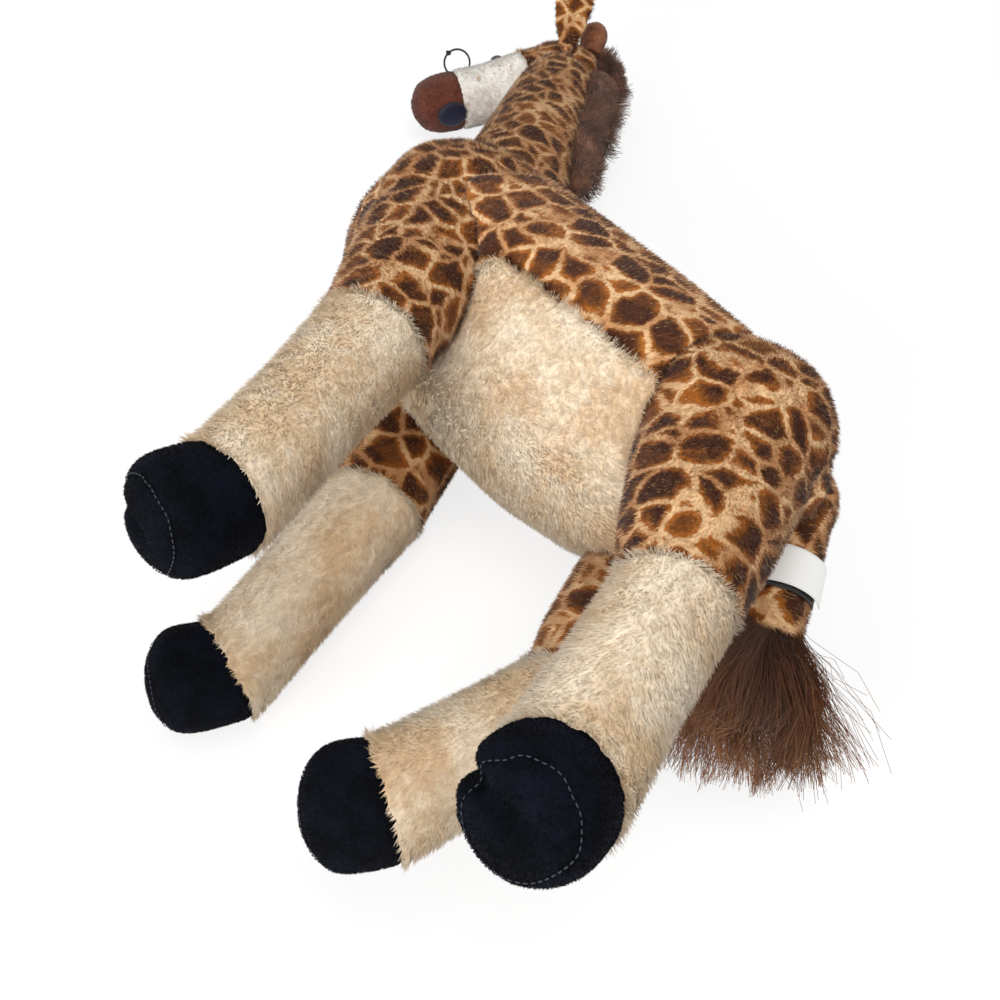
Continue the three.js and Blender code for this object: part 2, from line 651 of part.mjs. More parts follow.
// Head pieces
const headOuter = ball(headHinge, SKULL + SEAM_GAP, SKULL_HALF_WIDTH + SEAM_GAP)
  .add(sweep(headRings(-SEAM_GAP), LIMB_SIDES));
const faceStart = onFrom(headHinge, headWay, FACE_START_SHARE * HEAD_LENGTH);
const muzzleStart = onFrom(headHinge, headWay, MUZZLE_START_SHARE * HEAD_LENGTH);

// Eyes: a domed button whose shank goes through the cloth to a washer inside
function eyePlan(sign) {
  const turn = toRadians(EYE.turn);
  const way = crownWay.clone().multiplyScalar(Math.sin(turn));
  way.addScaledVector(headSide, sign * Math.cos(turn));
  const i = HEAD_SHARES.findIndex((place) => place >= EYE.share);
  const part = (EYE.share - HEAD_SHARES[i - 1]) / (HEAD_SHARES[i] - HEAD_SHARES[i - 1]);
  const tall = THREE.MathUtils.lerp(HEAD_THICK[i - 1], HEAD_THICK[i], part);
  const wide = THREE.MathUtils.lerp(HEAD_WIDE[i - 1], HEAD_WIDE[i], part);
  const radius = (tall * wide) / Math.hypot(tall * Math.cos(turn), wide * Math.sin(turn));
  const at = onFrom(onFrom(headHinge, headWay, EYE.share * HEAD_LENGTH), way, radius);
  return { at, way };
}

const eyes = { left: eyePlan(1), right: eyePlan(-1) };
let headShell = headForm.subtract(headCore(PELT));
let headFilling = headCore(PELT + SEAM_GAP);
Object.entries(eyes).forEach(([side, plan]) => {
  const button = dome(plan.at, plan.way, EYE.radius, EYE.radius, EYE.tall, headWay);
  const base = { at: plan.at, thick: EYE.radius, wide: EYE.radius, across: headWay, along: plan.way };
  const under = { ...base, at: onFrom(plan.at, plan.way, -half(EYE.tall)) };
  const cap = sweep([under, base, ...button], ROUND_SIDES).subtract(headOuter);
  const shank = rod(plan.at, plan.way, SHANK.radius, -SHANK.depth, half(EYE.tall));
  pieces[`${side}_eye`] = [cap.add(shank), BLACK_PLASTIC];
  const washer = rod(plan.at, plan.way, WASHER.radius, -WASHER.depth - WASHER.thick, -WASHER.depth);
  const washerHole = rod(plan.at, plan.way, SHANK.radius + SEAM_GAP, -SHANK.depth * 2, 0);
  pieces[`${side}_eye_washer`] = [washer.subtract(washerHole), CLEAR_PLASTIC];
  const shankRoom = rod(plan.at, plan.way, SHANK.radius + SEAM_GAP, -SHANK.depth - SEAM_GAP, EYE.tall);
  const washerFoot = -WASHER.depth - WASHER.thick - SEAM_GAP;
  const washerRoom = rod(plan.at, plan.way, WASHER.radius + SEAM_GAP, washerFoot, 0);
  headShell = headShell.subtract(shankRoom);
  headFilling = headFilling.subtract(shankRoom).subtract(washerRoom);
});

// Elastic loop of the hang tag: it goes through the seam above the muzzle and is knotted on top
const loopUp = vector(VIEW_UP).addScaledVector(viewWay, -vector(VIEW_UP).dot(viewWay)).normalize();
const loopRight = new THREE.Vector3().crossVectors(loopUp, viewWay);
const loopSeam = onFrom(headHinge, headWay, LOOP_SHARE * HEAD_LENGTH);
const loopCentre = onFrom(loopSeam, loopUp, HEAD_WIDE[HEAD_WIDE.length - 1] + LOOP.rise);
function loopPoint(turn) {
  const at = onFrom(loopCentre, loopRight, LOOP.radius * Math.cos(toRadians(turn)));
  return at.addScaledVector(loopUp, LOOP.radius * Math.sin(toRadians(turn)));
}
function loopForm(by) {
  const clear = THREE.MathUtils.radToDeg((LOOP.knot + SEAM_GAP - by) / LOOP.radius);
  const from = LOOP.knotTurn + clear;
  const span = 360 - clear * 2;
  const stations = [];
  for (let i = 0; i <= LOOP.steps; i += 1) {
    const turn = from + (i / LOOP.steps) * span;
    const along = loopPoint(turn + 90).sub(loopCentre).normalize();
    const radius = half(LOOP.cord) + by;
    stations.push({ at: loopPoint(turn), thick: radius, wide: radius, across: viewWay, along });
  }
  return sweep(stations, LOOP.sides);
}
const knot = new THREE.SphereGeometry(LOOP.knot, ROUND_SIDES, CORE_SIDES);
knot.translate(...loopPoint(LOOP.knotTurn).toArray());
pieces.tag_loop = [loopForm(0), ELASTIC];
pieces.tag_loop_knot = [solid(knot), ELASTIC];
headShell = headShell.subtract(loopForm(SEAM_GAP));
headFilling = headFilling.subtract(loopForm(SEAM_GAP));

// Mouth: a velour tongue on the throat side of the muzzle
const tongueAt = onFrom(headHinge, headWay, TONGUE.share * HEAD_LENGTH);
tongueAt.addScaledVector(crownWay, -HEAD_THICK[HEAD_THICK.length - 1]);
const tongue = new THREE.SphereGeometry(1, ROUND_SIDES, CORE_SIDES);
tongue.scale(half(TONGUE.long), half(TONGUE.wide), half(TONGUE.thick));
tongue.applyMatrix4(new THREE.Matrix4().makeBasis(headWay, headSide, crownWay).setPosition(tongueAt));

earRooms.forEach((room) => {
  headShell = headShell.subtract(room);
  headFilling = headFilling.subtract(room);
});
const hornRooms = ['left', 'right'].map((side) => hornForm(side, SEAM_GAP));
pieces.head_pelt = [largest(headShell.subtract(beyond(faceStart, headWay, -half(SEAM_GAP)))), SPOTTED];
pieces.face_panel = [largest(headShell.intersect(beyond(faceStart, headWay, half(SEAM_GAP)))
  .subtract(beyond(muzzleStart, headWay, -half(SEAM_GAP)))), WHITE];
pieces.muzzle = [largest(headShell.intersect(beyond(muzzleStart, headWay, half(SEAM_GAP)))), BROWN];
pieces.tongue = [largest(solid(tongue).subtract(headOuter)), NAVY];
pieces.head_stuffing = [largest(headFilling), STUFFING];
const pollForm = sweep(POLL_TURNS.map((turn, i) => ({
  at: onFrom(headHinge, aroundPoll(turn), SKULL), along: aroundPoll(turn - 90),
  thick: POLL_SHARES[i] * MANE.pollTall, wide: POLL_SHARES[i] * MANE.pollHalf,
})), ROUND_SIDES);
const clearOfHead = (made) => [headOuter, ...earRooms].reduce((left, room) => left.subtract(room), made);
pieces.poll_mane = [largest(clearOfHead(pollForm).subtract(hornRooms[0]).subtract(hornRooms[1])), BROWN];
pieces.left_horn = [largest(clearOfHead(hornForm('left', 0))), BROWN];
pieces.right_horn = [largest(clearOfHead(hornForm('right', 0)).subtract(hornRooms[0])), BROWN];
[['left', leftEar], ['right', rightEar]].forEach(([side, plan]) => {
  pieces[`${side}_ear`] = [earForm(plan, 0), SPOTTED];
  const lift = -(half(EAR.thick) + SEAM_GAP + half(EAR.lining));
  pieces[`${side}_ear_lining`] = [
    leaf(plan, LINING_ALONG_SHARES, EAR.wide * LINING_WIDE_SHARE, EAR.lining, lift, 0), CREAM];
});

legs.forEach((plan) => Object.assign(pieces, legPieces(plan)));
pieces.tail_pelt = [tailForm.subtract(tailCore(PELT)), SPOTTED];
pieces.tail_stuffing = [tailCore(PELT + SEAM_GAP), STUFFING];
const tailOuter = sweep(tailStations.map((station) => inset(station, -SEAM_GAP)), LIMB_SIDES);
pieces.label = [labelForm, TAPE];
pieces.tail_tuft = [largest(sweep(tuftStations, LIMB_SIDES).subtract(tailOuter)), BROWN];

// Mane on the withers
const withersStations = WITHERS_SHARES.map((size, i) => {
  const x = THREE.MathUtils.lerp(WITHERS.rear, WITHERS.front, i / (WITHERS_SHARES.length - 1));
  const at = new THREE.Vector3(x, 0, torsoTop(x));
  return { at, thick: size * WITHERS.tall, wide: size * WITHERS.half };
});
const withersForm = sweep(withersStations, ROUND_SIDES).subtract(torsoForm(-SEAM_GAP));
pieces.withers_mane = [largest(cutRooms(withersForm)), BROWN];

// Laid on the floor and cut flat where it rests, the middle of the floor under it at the origin
const laid = Object.entries(pieces).map(([name, [made, material]]) => (
  { name, made: made.transform(LYING.elements), material }));
const lowest = Math.min(...laid.map(({ made }) => made.boundingBox().min[2]));
const floorHeight = lowest + FLAT_DEPTH;
const floor = beyond(new THREE.Vector3(0, 0, floorHeight), Z_AXIS.clone().negate());
laid.forEach((piece) => {
  piece.made = piece.made.subtract(floor);
});
const middle = [0, 1].map((k) => half(Math.min(...laid.map(({ made }) => made.boundingBox().min[k]))
  + Math.max(...laid.map(({ made }) => made.boundingBox().max[k]))));

const giraffe = new THREE.Group();
laid.forEach(({ name, made, material }) => {
  const { vertProperties, triVerts } = made.getMesh();
  const geometry = new THREE.BufferGeometry();
  geometry.setAttribute('position', new THREE.BufferAttribute(new Float32Array(vertProperties), 3));
  geometry.setIndex(Array.from(triVerts));
  geometry.translate(-middle[0], -middle[1], -floorHeight);
  const mesh = new THREE.Mesh(geometry, material);
  mesh.name = name;
  giraffe.add(mesh);
});
giraffe.userData.shift = [-middle[0], -middle[1], -floorHeight];

export default giraffe;
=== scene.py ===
# %% [markdown]
# # A plush giraffe lying on its side
# The toy is sewn from short-pile plush and stuffed with fibre: a torso with a cream belly panel,
# a neck, a head, four legs with velour hooves, a tail with a long tuft, and a mane. The packed
# solids give every piece its place and size. This lesson dresses them in rounded, furry cloth.

# %% Load the solids and note their box
import json
import math

import bmesh
import bpy
import numpy as np
from mathutils import Euler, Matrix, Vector
from mathutils.bvhtree import BVHTree
from mathutils.kdtree import KDTree

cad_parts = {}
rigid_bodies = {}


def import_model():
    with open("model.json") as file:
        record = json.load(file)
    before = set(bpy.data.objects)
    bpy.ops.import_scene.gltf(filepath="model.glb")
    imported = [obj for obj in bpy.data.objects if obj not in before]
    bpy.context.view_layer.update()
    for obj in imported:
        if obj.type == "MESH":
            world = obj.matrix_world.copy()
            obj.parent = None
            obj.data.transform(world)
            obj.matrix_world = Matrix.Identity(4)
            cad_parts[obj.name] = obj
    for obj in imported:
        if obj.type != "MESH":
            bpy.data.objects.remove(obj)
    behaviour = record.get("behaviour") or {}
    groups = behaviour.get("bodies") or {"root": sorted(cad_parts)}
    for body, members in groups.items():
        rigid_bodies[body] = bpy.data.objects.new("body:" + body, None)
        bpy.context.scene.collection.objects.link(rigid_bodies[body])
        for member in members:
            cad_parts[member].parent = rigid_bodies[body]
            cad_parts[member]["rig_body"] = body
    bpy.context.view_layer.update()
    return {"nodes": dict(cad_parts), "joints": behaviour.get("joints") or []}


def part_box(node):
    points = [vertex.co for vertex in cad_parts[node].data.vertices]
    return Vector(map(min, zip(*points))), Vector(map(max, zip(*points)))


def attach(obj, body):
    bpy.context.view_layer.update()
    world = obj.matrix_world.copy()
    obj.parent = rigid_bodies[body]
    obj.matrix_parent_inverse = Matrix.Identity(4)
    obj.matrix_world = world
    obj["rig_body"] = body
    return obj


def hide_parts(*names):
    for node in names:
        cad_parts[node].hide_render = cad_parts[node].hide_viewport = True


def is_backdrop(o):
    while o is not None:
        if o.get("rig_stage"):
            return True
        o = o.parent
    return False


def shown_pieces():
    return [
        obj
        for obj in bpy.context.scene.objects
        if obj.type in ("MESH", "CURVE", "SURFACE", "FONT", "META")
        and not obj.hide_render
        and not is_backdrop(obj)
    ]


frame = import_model()
nodes = frame["nodes"]
scene = bpy.context.scene
MM = 0.001

# %% [markdown]
# The camera comes first. It stands where the photographer stood: in front of the belly and above
# it, looking 50 degrees down, with a normal lens.

# %% Camera
CAMERA_PLACE = Vector((2.72, -625.0, 590.63)) * MM
CAMERA_DOWN = 50
LENS, SENSOR = 37.8, 36
camera = bpy.data.objects.new("camera", bpy.data.cameras.new("camera"))
scene.collection.objects.link(camera)
camera.location = CAMERA_PLACE
camera.rotation_euler = Euler((math.radians(90 - CAMERA_DOWN), 0, 0))
camera.data.lens, camera.data.sensor_width = LENS, SENSOR
scene.camera = camera

# %% [markdown]
# The giraffe has axes of its own: forward to the head, left, and up to its back. Directions that
# belong to the animal are easier to say in them, so one helper turns them into the frame.

# %% The animal's own axes
HEADING, ROLL = math.radians(130), math.radians(12)
FORWARD = Vector((math.cos(HEADING), math.sin(HEADING), 0))
flat_back = FORWARD.cross(Vector((0, 0, 1)))
LEFT = Vector((0, 0, 1)) * math.cos(ROLL) + flat_back * math.sin(ROLL)
BACK = FORWARD.cross(LEFT)
TORSO_AXIS = Vector((55.738, -88.0, 94.634)) * MM


def animal(x, y, z):
    """A direction in the animal's own axes, in the frame"""
    return FORWARD * x + LEFT * y + BACK * z


def downward(back, out):
    """A direction that leans back and out from straight down, in degrees"""
    b, o = math.radians(back), math.radians(out)
    return animal(-math.sin(b) * math.cos(o), math.sin(o), -math.cos(b) * math.cos(o))


hinges = {joint["child"]: Vector(joint["pos_m"]) for joint in frame["joints"]}
print("hinges:", {name: tuple(round(x, 3) for x in at) for name, at in hinges.items()})

# %% [markdown]
# Shader maths reads best as plain sums. This small class wraps one socket of a node tree; adding
# or multiplying wires makes the Math nodes. Vectors go through Vector Math, and any other node
# comes from `node`.


# %% Sums of sockets
class Wire:
    """One socket of a node tree, with sums as Python operators"""

    def __init__(self, tree, socket=None):
        self.tree, self.socket = tree, socket

    def node(self, kind, settings=None, sockets=None, out=0):
        """A node of any kind: its settings come first, then its values and links"""
        made = self.tree.nodes.new(kind)
        for name, value in (settings or {}).items():
            setattr(made, name, value)
        for name, value in (sockets or {}).items():
            self.feed(made.inputs[name], value)
        return Wire(self.tree, made.outputs[out] if made.outputs else None)

    def feed(self, socket, value):
        """A link or a value for one input"""
        if isinstance(value, Wire):
            self.tree.links.new(value.socket, socket)
        else:
            socket.default_value = value

    def sum(self, operation, one, other):
        """One Math node, or Vector Math where a vector or a colour comes in"""
        wires = [x for x in (one, other) if isinstance(x, Wire)]
        vector = any(x.socket.type in ("VECTOR", "RGBA") for x in wires)
        if vector:
            one, other = ((x,) * 3 if isinstance(x, (int, float)) else x for x in (one, other))
        kind = "ShaderNodeVectorMath" if vector else "ShaderNodeMath"
        return self.node(kind, {"operation": operation}, {0: one, 1: other})

    def __add__(self, other):
        return self.sum("ADD", self, other)

    __radd__ = __add__

    def __sub__(self, other):
        return self.sum("SUBTRACT", self, other)

    def __rsub__(self, other):
        return self.sum("SUBTRACT", other, self)

    def __mul__(self, other):
        return self.sum("MULTIPLY", self, other)

    __rmul__ = __mul__

    def between(self, low, high):
        """A smooth step from 0 at low to 1 at high"""
        return self.node("ShaderNodeMapRange", {"interpolation_type": "SMOOTHSTEP"},
                         {"Value": self, "From Min": low, "From Max": high})

    def mix(self, start, end):
        """The colour start where this wire is 0 and end where it is 1"""
        return self.node("ShaderNodeMix", {"data_type": "RGBA"}, {0: self, 6: start, 7: end}, 2)

    def output(self, name):
        """Another output of the same node"""
        return Wire(self.tree, self.socket.node.outputs[name])

    def parts(self):
        """The three numbers of a vector"""
        made = self.node("ShaderNodeSeparateXYZ", None, {0: self})
        return [made.output(name) for name in "XYZ"]

    def scaled(self, by):
        """A vector times one number"""
        return self.node("ShaderNodeVectorMath", {"operation": "SCALE"}, {0: self, "Scale": by})

    def noise(self, scale, detail=2, out=0):
        """Soft noise over this place: out 0 gives a number, 1 a vector"""
        return self.node("ShaderNodeTexNoise", None,
                         {"Vector": self, "Scale": scale, "Detail": detail}, out)

    def cells(self, size, jumble, out=0, feature="F1"):
        """Voronoi cells over this place: out 0 gives a distance, 1 each cell's own colour"""
        return self.node("ShaderNodeTexVoronoi", {"feature": feature},
                         {"Vector": self, "Scale": 1 / size, "Randomness": jumble}, out)

    def attribute(self, name, out=2):
        """What a mesh keeps under a name: out 1 gives a vector, 2 a number"""
        return self.node("ShaderNodeAttribute", {"attribute_name": name}, None, out)

    def bump(self, strength, distance):
        """The normal of a surface with this height"""
        return self.node("ShaderNodeBump", None,
                         {"Height": self, "Strength": strength, "Distance": distance})

    def random(self, low, high, seed):
        """A random number, or a random vector where low and high are tuples"""
        if isinstance(low, tuple):
            return self.node("FunctionNodeRandomValue", {"data_type": "FLOAT_VECTOR"},
                             {0: low, 1: high, "Seed": seed})
        return self.node("FunctionNodeRandomValue", None, {2: low, 3: high, "Seed": seed}, 1)

    def stored(self, title, value, kind="FLOAT"):
        """This geometry, with a value kept on its points"""
        return self.node("GeometryNodeStoreNamedAttribute", {"data_type": kind},
                         {"Geometry": self, "Name": title, "Value": value})


def dye(code):
    """A linear colour from its web code"""
    parts = [int(code[i:i + 2], 16) / 255 for i in (0, 2, 4)]
    linear = [x / 12.92 if x <= 0.04045 else ((x + 0.055) / 1.055) ** 2.4 for x in parts]
    return (*linear, 1)


# %% [markdown]
# The photograph was taken in soft light from above on a white ground. The world gives an even
# light of about seven tenths, and a large lamp above and one on the left give the rest, so that
# a dye renders about as it is written. Light Path shows the world, and most of the ground, as
# plain white to the camera, and the ground still takes the toy's shadow.

# %% Light and ground
scene.view_settings.view_transform = "Standard"
WORLD_LIGHT, GROUND_GREY, GROUND_GLOW = 0.72, 0.95, 0.8
WHITE = (1, 1, 1, 1)


def emptied(owner):
    """The wire of a world's or a material's tree, with its nodes taken out"""
    owner.use_nodes = True
    owner.node_tree.nodes.clear()
    return Wire(owner.node_tree)


scene.world = bpy.data.worlds.new("studio")
w = emptied(scene.world)
rays = w.node("ShaderNodeLightPath")
seen = rays.output("Is Camera Ray") + rays.output("Is Glossy Ray")
seen = (seen + rays.output("Is Transmission Ray")).between(0, 1)
strength = seen * (1 - WORLD_LIGHT) + WORLD_LIGHT
sky = w.node("ShaderNodeBackground", None, {"Color": WHITE, "Strength": strength})
w.node("ShaderNodeOutputWorld", None, {"Surface": sky})

ground_paint = bpy.data.materials.new("ground_white")
w = emptied(ground_paint)
matt = w.node("ShaderNodeBsdfDiffuse", None, {"Color": (GROUND_GREY,) * 3 + (1,)})
glow = w.node("ShaderNodeEmission", None, {"Color": WHITE, "Strength": 1})
seen = w.node("ShaderNodeLightPath").output("Is Camera Ray") * GROUND_GLOW
white = w.node("ShaderNodeMixShader", None, {0: seen, 1: matt, 2: glow})
w.node("ShaderNodeOutputMaterial", None, {"Surface": white})

GROUND_HALF = 6
ground_mesh = bpy.data.meshes.new("ground")
corners = [(x, y, 0) for x, y in ((-1, -1), (1, -1), (1, 1), (-1, 1))]
ground_mesh.from_pydata([Vector(c) * GROUND_HALF for c in corners], [], [(0, 1, 2, 3)])
ground_mesh.materials.append(ground_paint)
ground = bpy.data.objects.new("ground", ground_mesh)
scene.collection.objects.link(ground)
ground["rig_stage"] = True


def lamp(name, at, size, watts):
    """A square lamp that looks at the toy's middle"""
    light = bpy.data.lights.new(name, "AREA")
    light.energy, light.size = watts, size
    made = bpy.data.objects.new(name, light)
    made.location = at
    made.rotation_euler = (TORSO_AXIS - Vector(at)).to_track_quat("-Z", "Y").to_euler()
    scene.collection.objects.link(made)


lamp("lamp_above", (0.3, -0.5, 2.2), 1.2, 20)
lamp("lamp_left", (-1.3, -1.7, 1.0), 1.0, 28)

# %% [markdown]
# ## Finishes
# Plush is a knitted backing with a cut pile. The pile's tips are paler than its roots, and where
# it has been brushed the other way it turns darker, so each plush finish is a mix of a root and a
# tip dye by soft noise. A pile strand takes its colour from the place of its root, which is kept
# in the attribute `root`, so the edges of a spot look furry.

# %% Plush dyes and the giraffe print
PRINT_CELL, PRINT_LINE, PRINT_JUMBLE = 0.0215, 0.0027, 0.95
BRUSHED_PATCH, FIBRE, FLECK_CELL = 0.045, 0.0011, 0.014


def patches(where, size, detail=2):
    """Soft noise from 0 to 1 with blots of about that size in metres"""
    return where.noise(1 / size, detail)


def giraffe_print(where):
    """Brown spots parted by pale lines, as on the toy's printed plush"""
    drift = where.noise(0.6 / PRINT_CELL, 2, 1)
    at = where + (drift - 0.5) * (PRINT_CELL * 0.8)
    edge = at.cells(PRINT_CELL, PRINT_JUMBLE, 0, "DISTANCE_TO_EDGE")
    cells = at.cells(PRINT_CELL, PRINT_JUMBLE, 1)
    tone = where.node("ShaderNodeSeparateColor", None, {0: cells})
    wide = PRINT_LINE / PRINT_CELL / 2
    edge = edge + (patches(where, 0.003) - 0.5) * (wide * 2.6)
    spot = edge.between(wide * 0.6, wide * 1.7)
    rim = edge.between(wide * 1.0, wide * 4.0)
    brushed = patches(where, BRUSHED_PATCH * 0.5, 3).between(0.38, 0.62)
    depth = (brushed * 0.45 + tone * 0.25 + rim * 0.55).between(0.1, 1.05)
    brown = depth.mix(dye("a8621d"), dye("452009"))
    pale = brushed.mix(dye("e6bf90"), dye("c08b5c"))
    return spot.mix(pale, brown)


def freckles(where):
    """A white dye with sparse, soft, tan flecks"""
    at = where + (where.noise(90, 2, 1) - 0.5) * 0.006
    far, cells = at.cells(FLECK_CELL, 1.0), at.cells(FLECK_CELL, 1.0, 1)
    chosen = where.node("ShaderNodeSeparateColor", None, {0: cells}).between(0.45, 0.6)
    fleck = (1 - far.between(0.16, 0.34)) * chosen * 0.75
    return fleck.mix(brushed_dye(where, "f4f1ea", "dcd5ca", 0.02), dye("b99f86"))


def brushed_dye(where, tip, root, size=BRUSHED_PATCH):
    """One dye that turns paler and darker where the pile was brushed"""
    turn = patches(where, size, 3) * 0.7 + patches(where, size * 0.12) * 0.3
    return turn.between(0.36, 0.64).mix(dye(tip), dye(root))


FINISHES = {
    "spotted_plush": giraffe_print,
    "cream_plush": lambda where: brushed_dye(where, "f4e4cc", "dcbf9a"),
    "white_plush": freckles,
    "brown_plush": lambda where: brushed_dye(where, "693827", "4a261a", 0.03),
    "mane_plush": lambda where: brushed_dye(where, "855a42", "4a2f22", 0.018),
    "tuft_plush": lambda where: brushed_dye(where, "8c5832", "4c2916", 0.012),
    "horn_velour": lambda where: brushed_dye(where, "966042", "653925", 0.02),
    "hoof_velour": lambda where: brushed_dye(where, "0c0f19", "040508", 0.02),
    "navy_velour": lambda where: brushed_dye(where, "161a30", "0a0c18", 0.012),
}
ROUGHNESS = {"hoof_velour": 0.85, "navy_velour": 0.45}
SHEEN = {"hoof_velour": 0.0, "navy_velour": 0.05}
SHINE = {"hoof_velour": 0.06}

# Darkness of a strand's roots beside its tip, and the painted highlight on the brightest strands
ROOT_SHARES = {"spotted_plush": (0.85, 0.76, 0.68), "mane_plush": (0.42, 0.38, 0.36),
               "tuft_plush": (0.22, 0.18, 0.16), "hoof_velour": (0.6, 0.6, 0.6)}
PAINTED_GLINTS = {"spotted_plush": 0.35, "cream_plush": 0.15, "tuft_plush": 0.15}


def fresh_paint(name):
    """A new material, its shader and the wire to build it with"""
    paint = bpy.data.materials.new(name)
    paint.use_nodes = True
    return paint, paint.node_tree.nodes["Principled BSDF"], Wire(paint.node_tree)


def cloth_finish(name, strand):
    """The finish of the cloth itself, or of the strands that stand on it"""
    paint, shader, w = fresh_paint(f"{name}_pile" if strand else name)
    where = w.attribute("root", 1) if strand else w.node("ShaderNodeTexCoord", None, None, 3)
    colour = FINISHES[name](where)
    if strand:
        shade = w.attribute("shade")
        dark = colour * ROOT_SHARES.get(name, (0.86, 0.82, 0.78))
        # The brightest strands are mixed toward a pale gold: a painted highlight, standing for
        # light glinting on the pile
        painted_glint = shade.between(0.8, 1.0) * PAINTED_GLINTS.get(name, 0.0)
        colour = painted_glint.mix(shade.between(0.0, 0.9).mix(dark, colour), dye("e6bd7e"))
    else:
        height = patches(where, FIBRE) + patches(where, FIBRE * 5)
        w.feed(shader.inputs["Normal"], height.bump(0.5, 0.0012))
    w.feed(shader.inputs["Base Color"], colour)
    shader.inputs["Roughness"].default_value = ROUGHNESS.get(name, 0.9)
    shader.inputs["Specular IOR Level"].default_value = SHINE.get(name, 0.25)
    shader.inputs["Sheen Weight"].default_value = SHEEN.get(name, 0.15)
    shader.inputs["Sheen Roughness"].default_value = 0.5
    return paint


cloth = {name: cloth_finish(name, False) for name in FINISHES}
piles = {name: cloth_finish(name, True) for name in FINISHES}
print("plush finishes:", sorted(cloth))

# %% [markdown]
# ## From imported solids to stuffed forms
# Each part of the toy is cloth panels round a filling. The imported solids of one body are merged,
# remeshed into one even skin and smoothed, which rounds off their facets. Blender's Cloth then
# blows the skin up a little from inside, with the seams held still, as the filling does.

# %% Weld, join and measure the solids
DOUBLES = 0.01 * MM


def opened(mesh):
    """A bmesh to work on a mesh with"""
    made = bmesh.new()
    made.from_mesh(mesh)
    return made


def welded(names):
    """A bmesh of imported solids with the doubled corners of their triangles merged"""
    made = bmesh.new()
    for name in names:
        made.from_mesh(nodes[name].data)
    bmesh.ops.remove_doubles(made, verts=made.verts, dist=DOUBLES)
    return made


def named(name, mesh):
    """A new piece of the toy from a mesh"""
    made = bpy.data.objects.new(name, mesh)
    scene.collection.objects.link(made)
    return made


def mesh_of(made):
    """A plain mesh from a bmesh, which is freed"""
    mesh = bpy.data.meshes.new("cloth")
    made.to_mesh(mesh)
    made.free()
    return mesh


def finished(piece):
    """The mesh that a piece's modifiers make; the piece goes"""
    depsgraph = bpy.context.evaluated_depsgraph_get()
    mesh = bpy.data.meshes.new_from_object(piece.evaluated_get(depsgraph))
    bpy.data.objects.remove(piece)
    return mesh


def shaped(mesh, kind, **settings):
    """The mesh that one modifier makes from a mesh"""
    form = named("form", mesh)
    change = form.modifiers.new(kind.lower(), kind)
    for name, value in settings.items():
        setattr(change, name, value)
    return finished(form)


def smoothed(mesh):
    """A mesh with all its faces shaded smooth"""
    for f in mesh.polygons:
        f.use_smooth = True
    return mesh


def places(mesh):
    """The places of a mesh's vertices"""
    return np.array([v.co for v in mesh.vertices])


def joined(name, mesh, body, paint=None, stands_for=()):
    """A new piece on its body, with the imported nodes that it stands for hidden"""
    if paint:
        mesh.materials.clear()
        mesh.materials.append(paint)
    piece = named(name, mesh)
    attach(piece, body)
    if stands_for:
        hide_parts(*stands_for)
    return piece


surface = {name: BVHTree.FromBMesh(welded([name])) for name in nodes}
INSIDE_SHARE, SHELL_HALF = 0.5, 3 * MM


def depth_in(name, point):
    """The signed distance of a point from a solid, below 0 inside it"""
    spot, normal, _, far = surface[name].find_nearest(point)
    inside = far < SHELL_HALF and (point - spot).dot(normal) < -INSIDE_SHARE * far
    return -far if inside else far


# %% [markdown]
# A voxel remesh makes one closed skin from panels and filling. The cloth's sewn edges and the
# places beside a neighbour are put in the vertex group `sewn`, which Cloth keeps where it is.

# %% Stuff a form
UNDER_CLOTH = 1.5 * MM
SEWN_REACH = 5 * MM
NEIGHBOUR_REACH = 5 * MM
PRESSURE, PLUMP_STEPS = 4, 20
CONTACT_GAP = 0.8 * MM


def largest_island(mesh):
    """Drops all but the biggest closed skin of a mesh"""
    made = opened(mesh)
    left, islands = set(made.verts), []
    while left:
        island, edge = set(), [left.pop()]
        while edge:
            v = edge.pop()
            island.add(v)
            for e in v.link_edges:
                other = e.other_vert(v)
                if other in left:
                    left.discard(other)
                    edge.append(other)
        islands.append(island)
    biggest = max(islands, key=len)
    bmesh.ops.delete(made, geom=[v for v in made.verts if v not in biggest], context="VERTS")
    return mesh_of(made)


def skin(mesh, voxel, soften):
    """One even closed skin round closed shapes"""
    mesh = largest_island(shaped(mesh, "REMESH", mode="VOXEL", voxel_size=voxel))
    return shaped(mesh, "SMOOTH", factor=0.5, iterations=soften)


def skin_of(names, voxel, soften):
    """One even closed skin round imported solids"""
    return skin(mesh_of(welded(names)), voxel, soften)


def hull(names):
    """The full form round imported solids, with the rooms for their neighbours filled"""
    made = welded(names)
    found = bmesh.ops.convex_hull(made, input=made.verts)
    kept = set(found["geom"])
    spare = [v for v in made.verts if v not in kept]
    bmesh.ops.delete(made, geom=spare, context="VERTS")
    loose = [f for f in made.faces if f not in kept]
    bmesh.ops.delete(made, geom=loose, context="FACES_ONLY")
    return mesh_of(made)


def pressed(mesh, neighbours):
    """A form with the places where its neighbours press into it"""
    form = named("form", mesh)
    pressing = []
    for other in neighbours:
        cutter = named("cutter", other.copy())
        grown = cutter.modifiers.new("grown", "DISPLACE")
        grown.strength, grown.mid_level = CONTACT_GAP, 0
        cut = form.modifiers.new("cut", "BOOLEAN")
        cut.operation, cut.solver, cut.object = "DIFFERENCE", "EXACT", cutter
        pressing.append(cutter)
    result = finished(form)
    for cutter in pressing:
        bpy.data.objects.remove(cutter)
    return result


def seam_fields(mesh, panels):
    """The signed distance of each vertex from every panel, measured just under the cloth"""
    rows = []
    for v in mesh.vertices:
        hit = min((surface[n].find_nearest(v.co) for n in panels), key=lambda found: found[3])
        under = hit[0] - hit[1] * UNDER_CLOTH
        rows.append([depth_in(n, under) for n in panels])
    return np.array(rows)


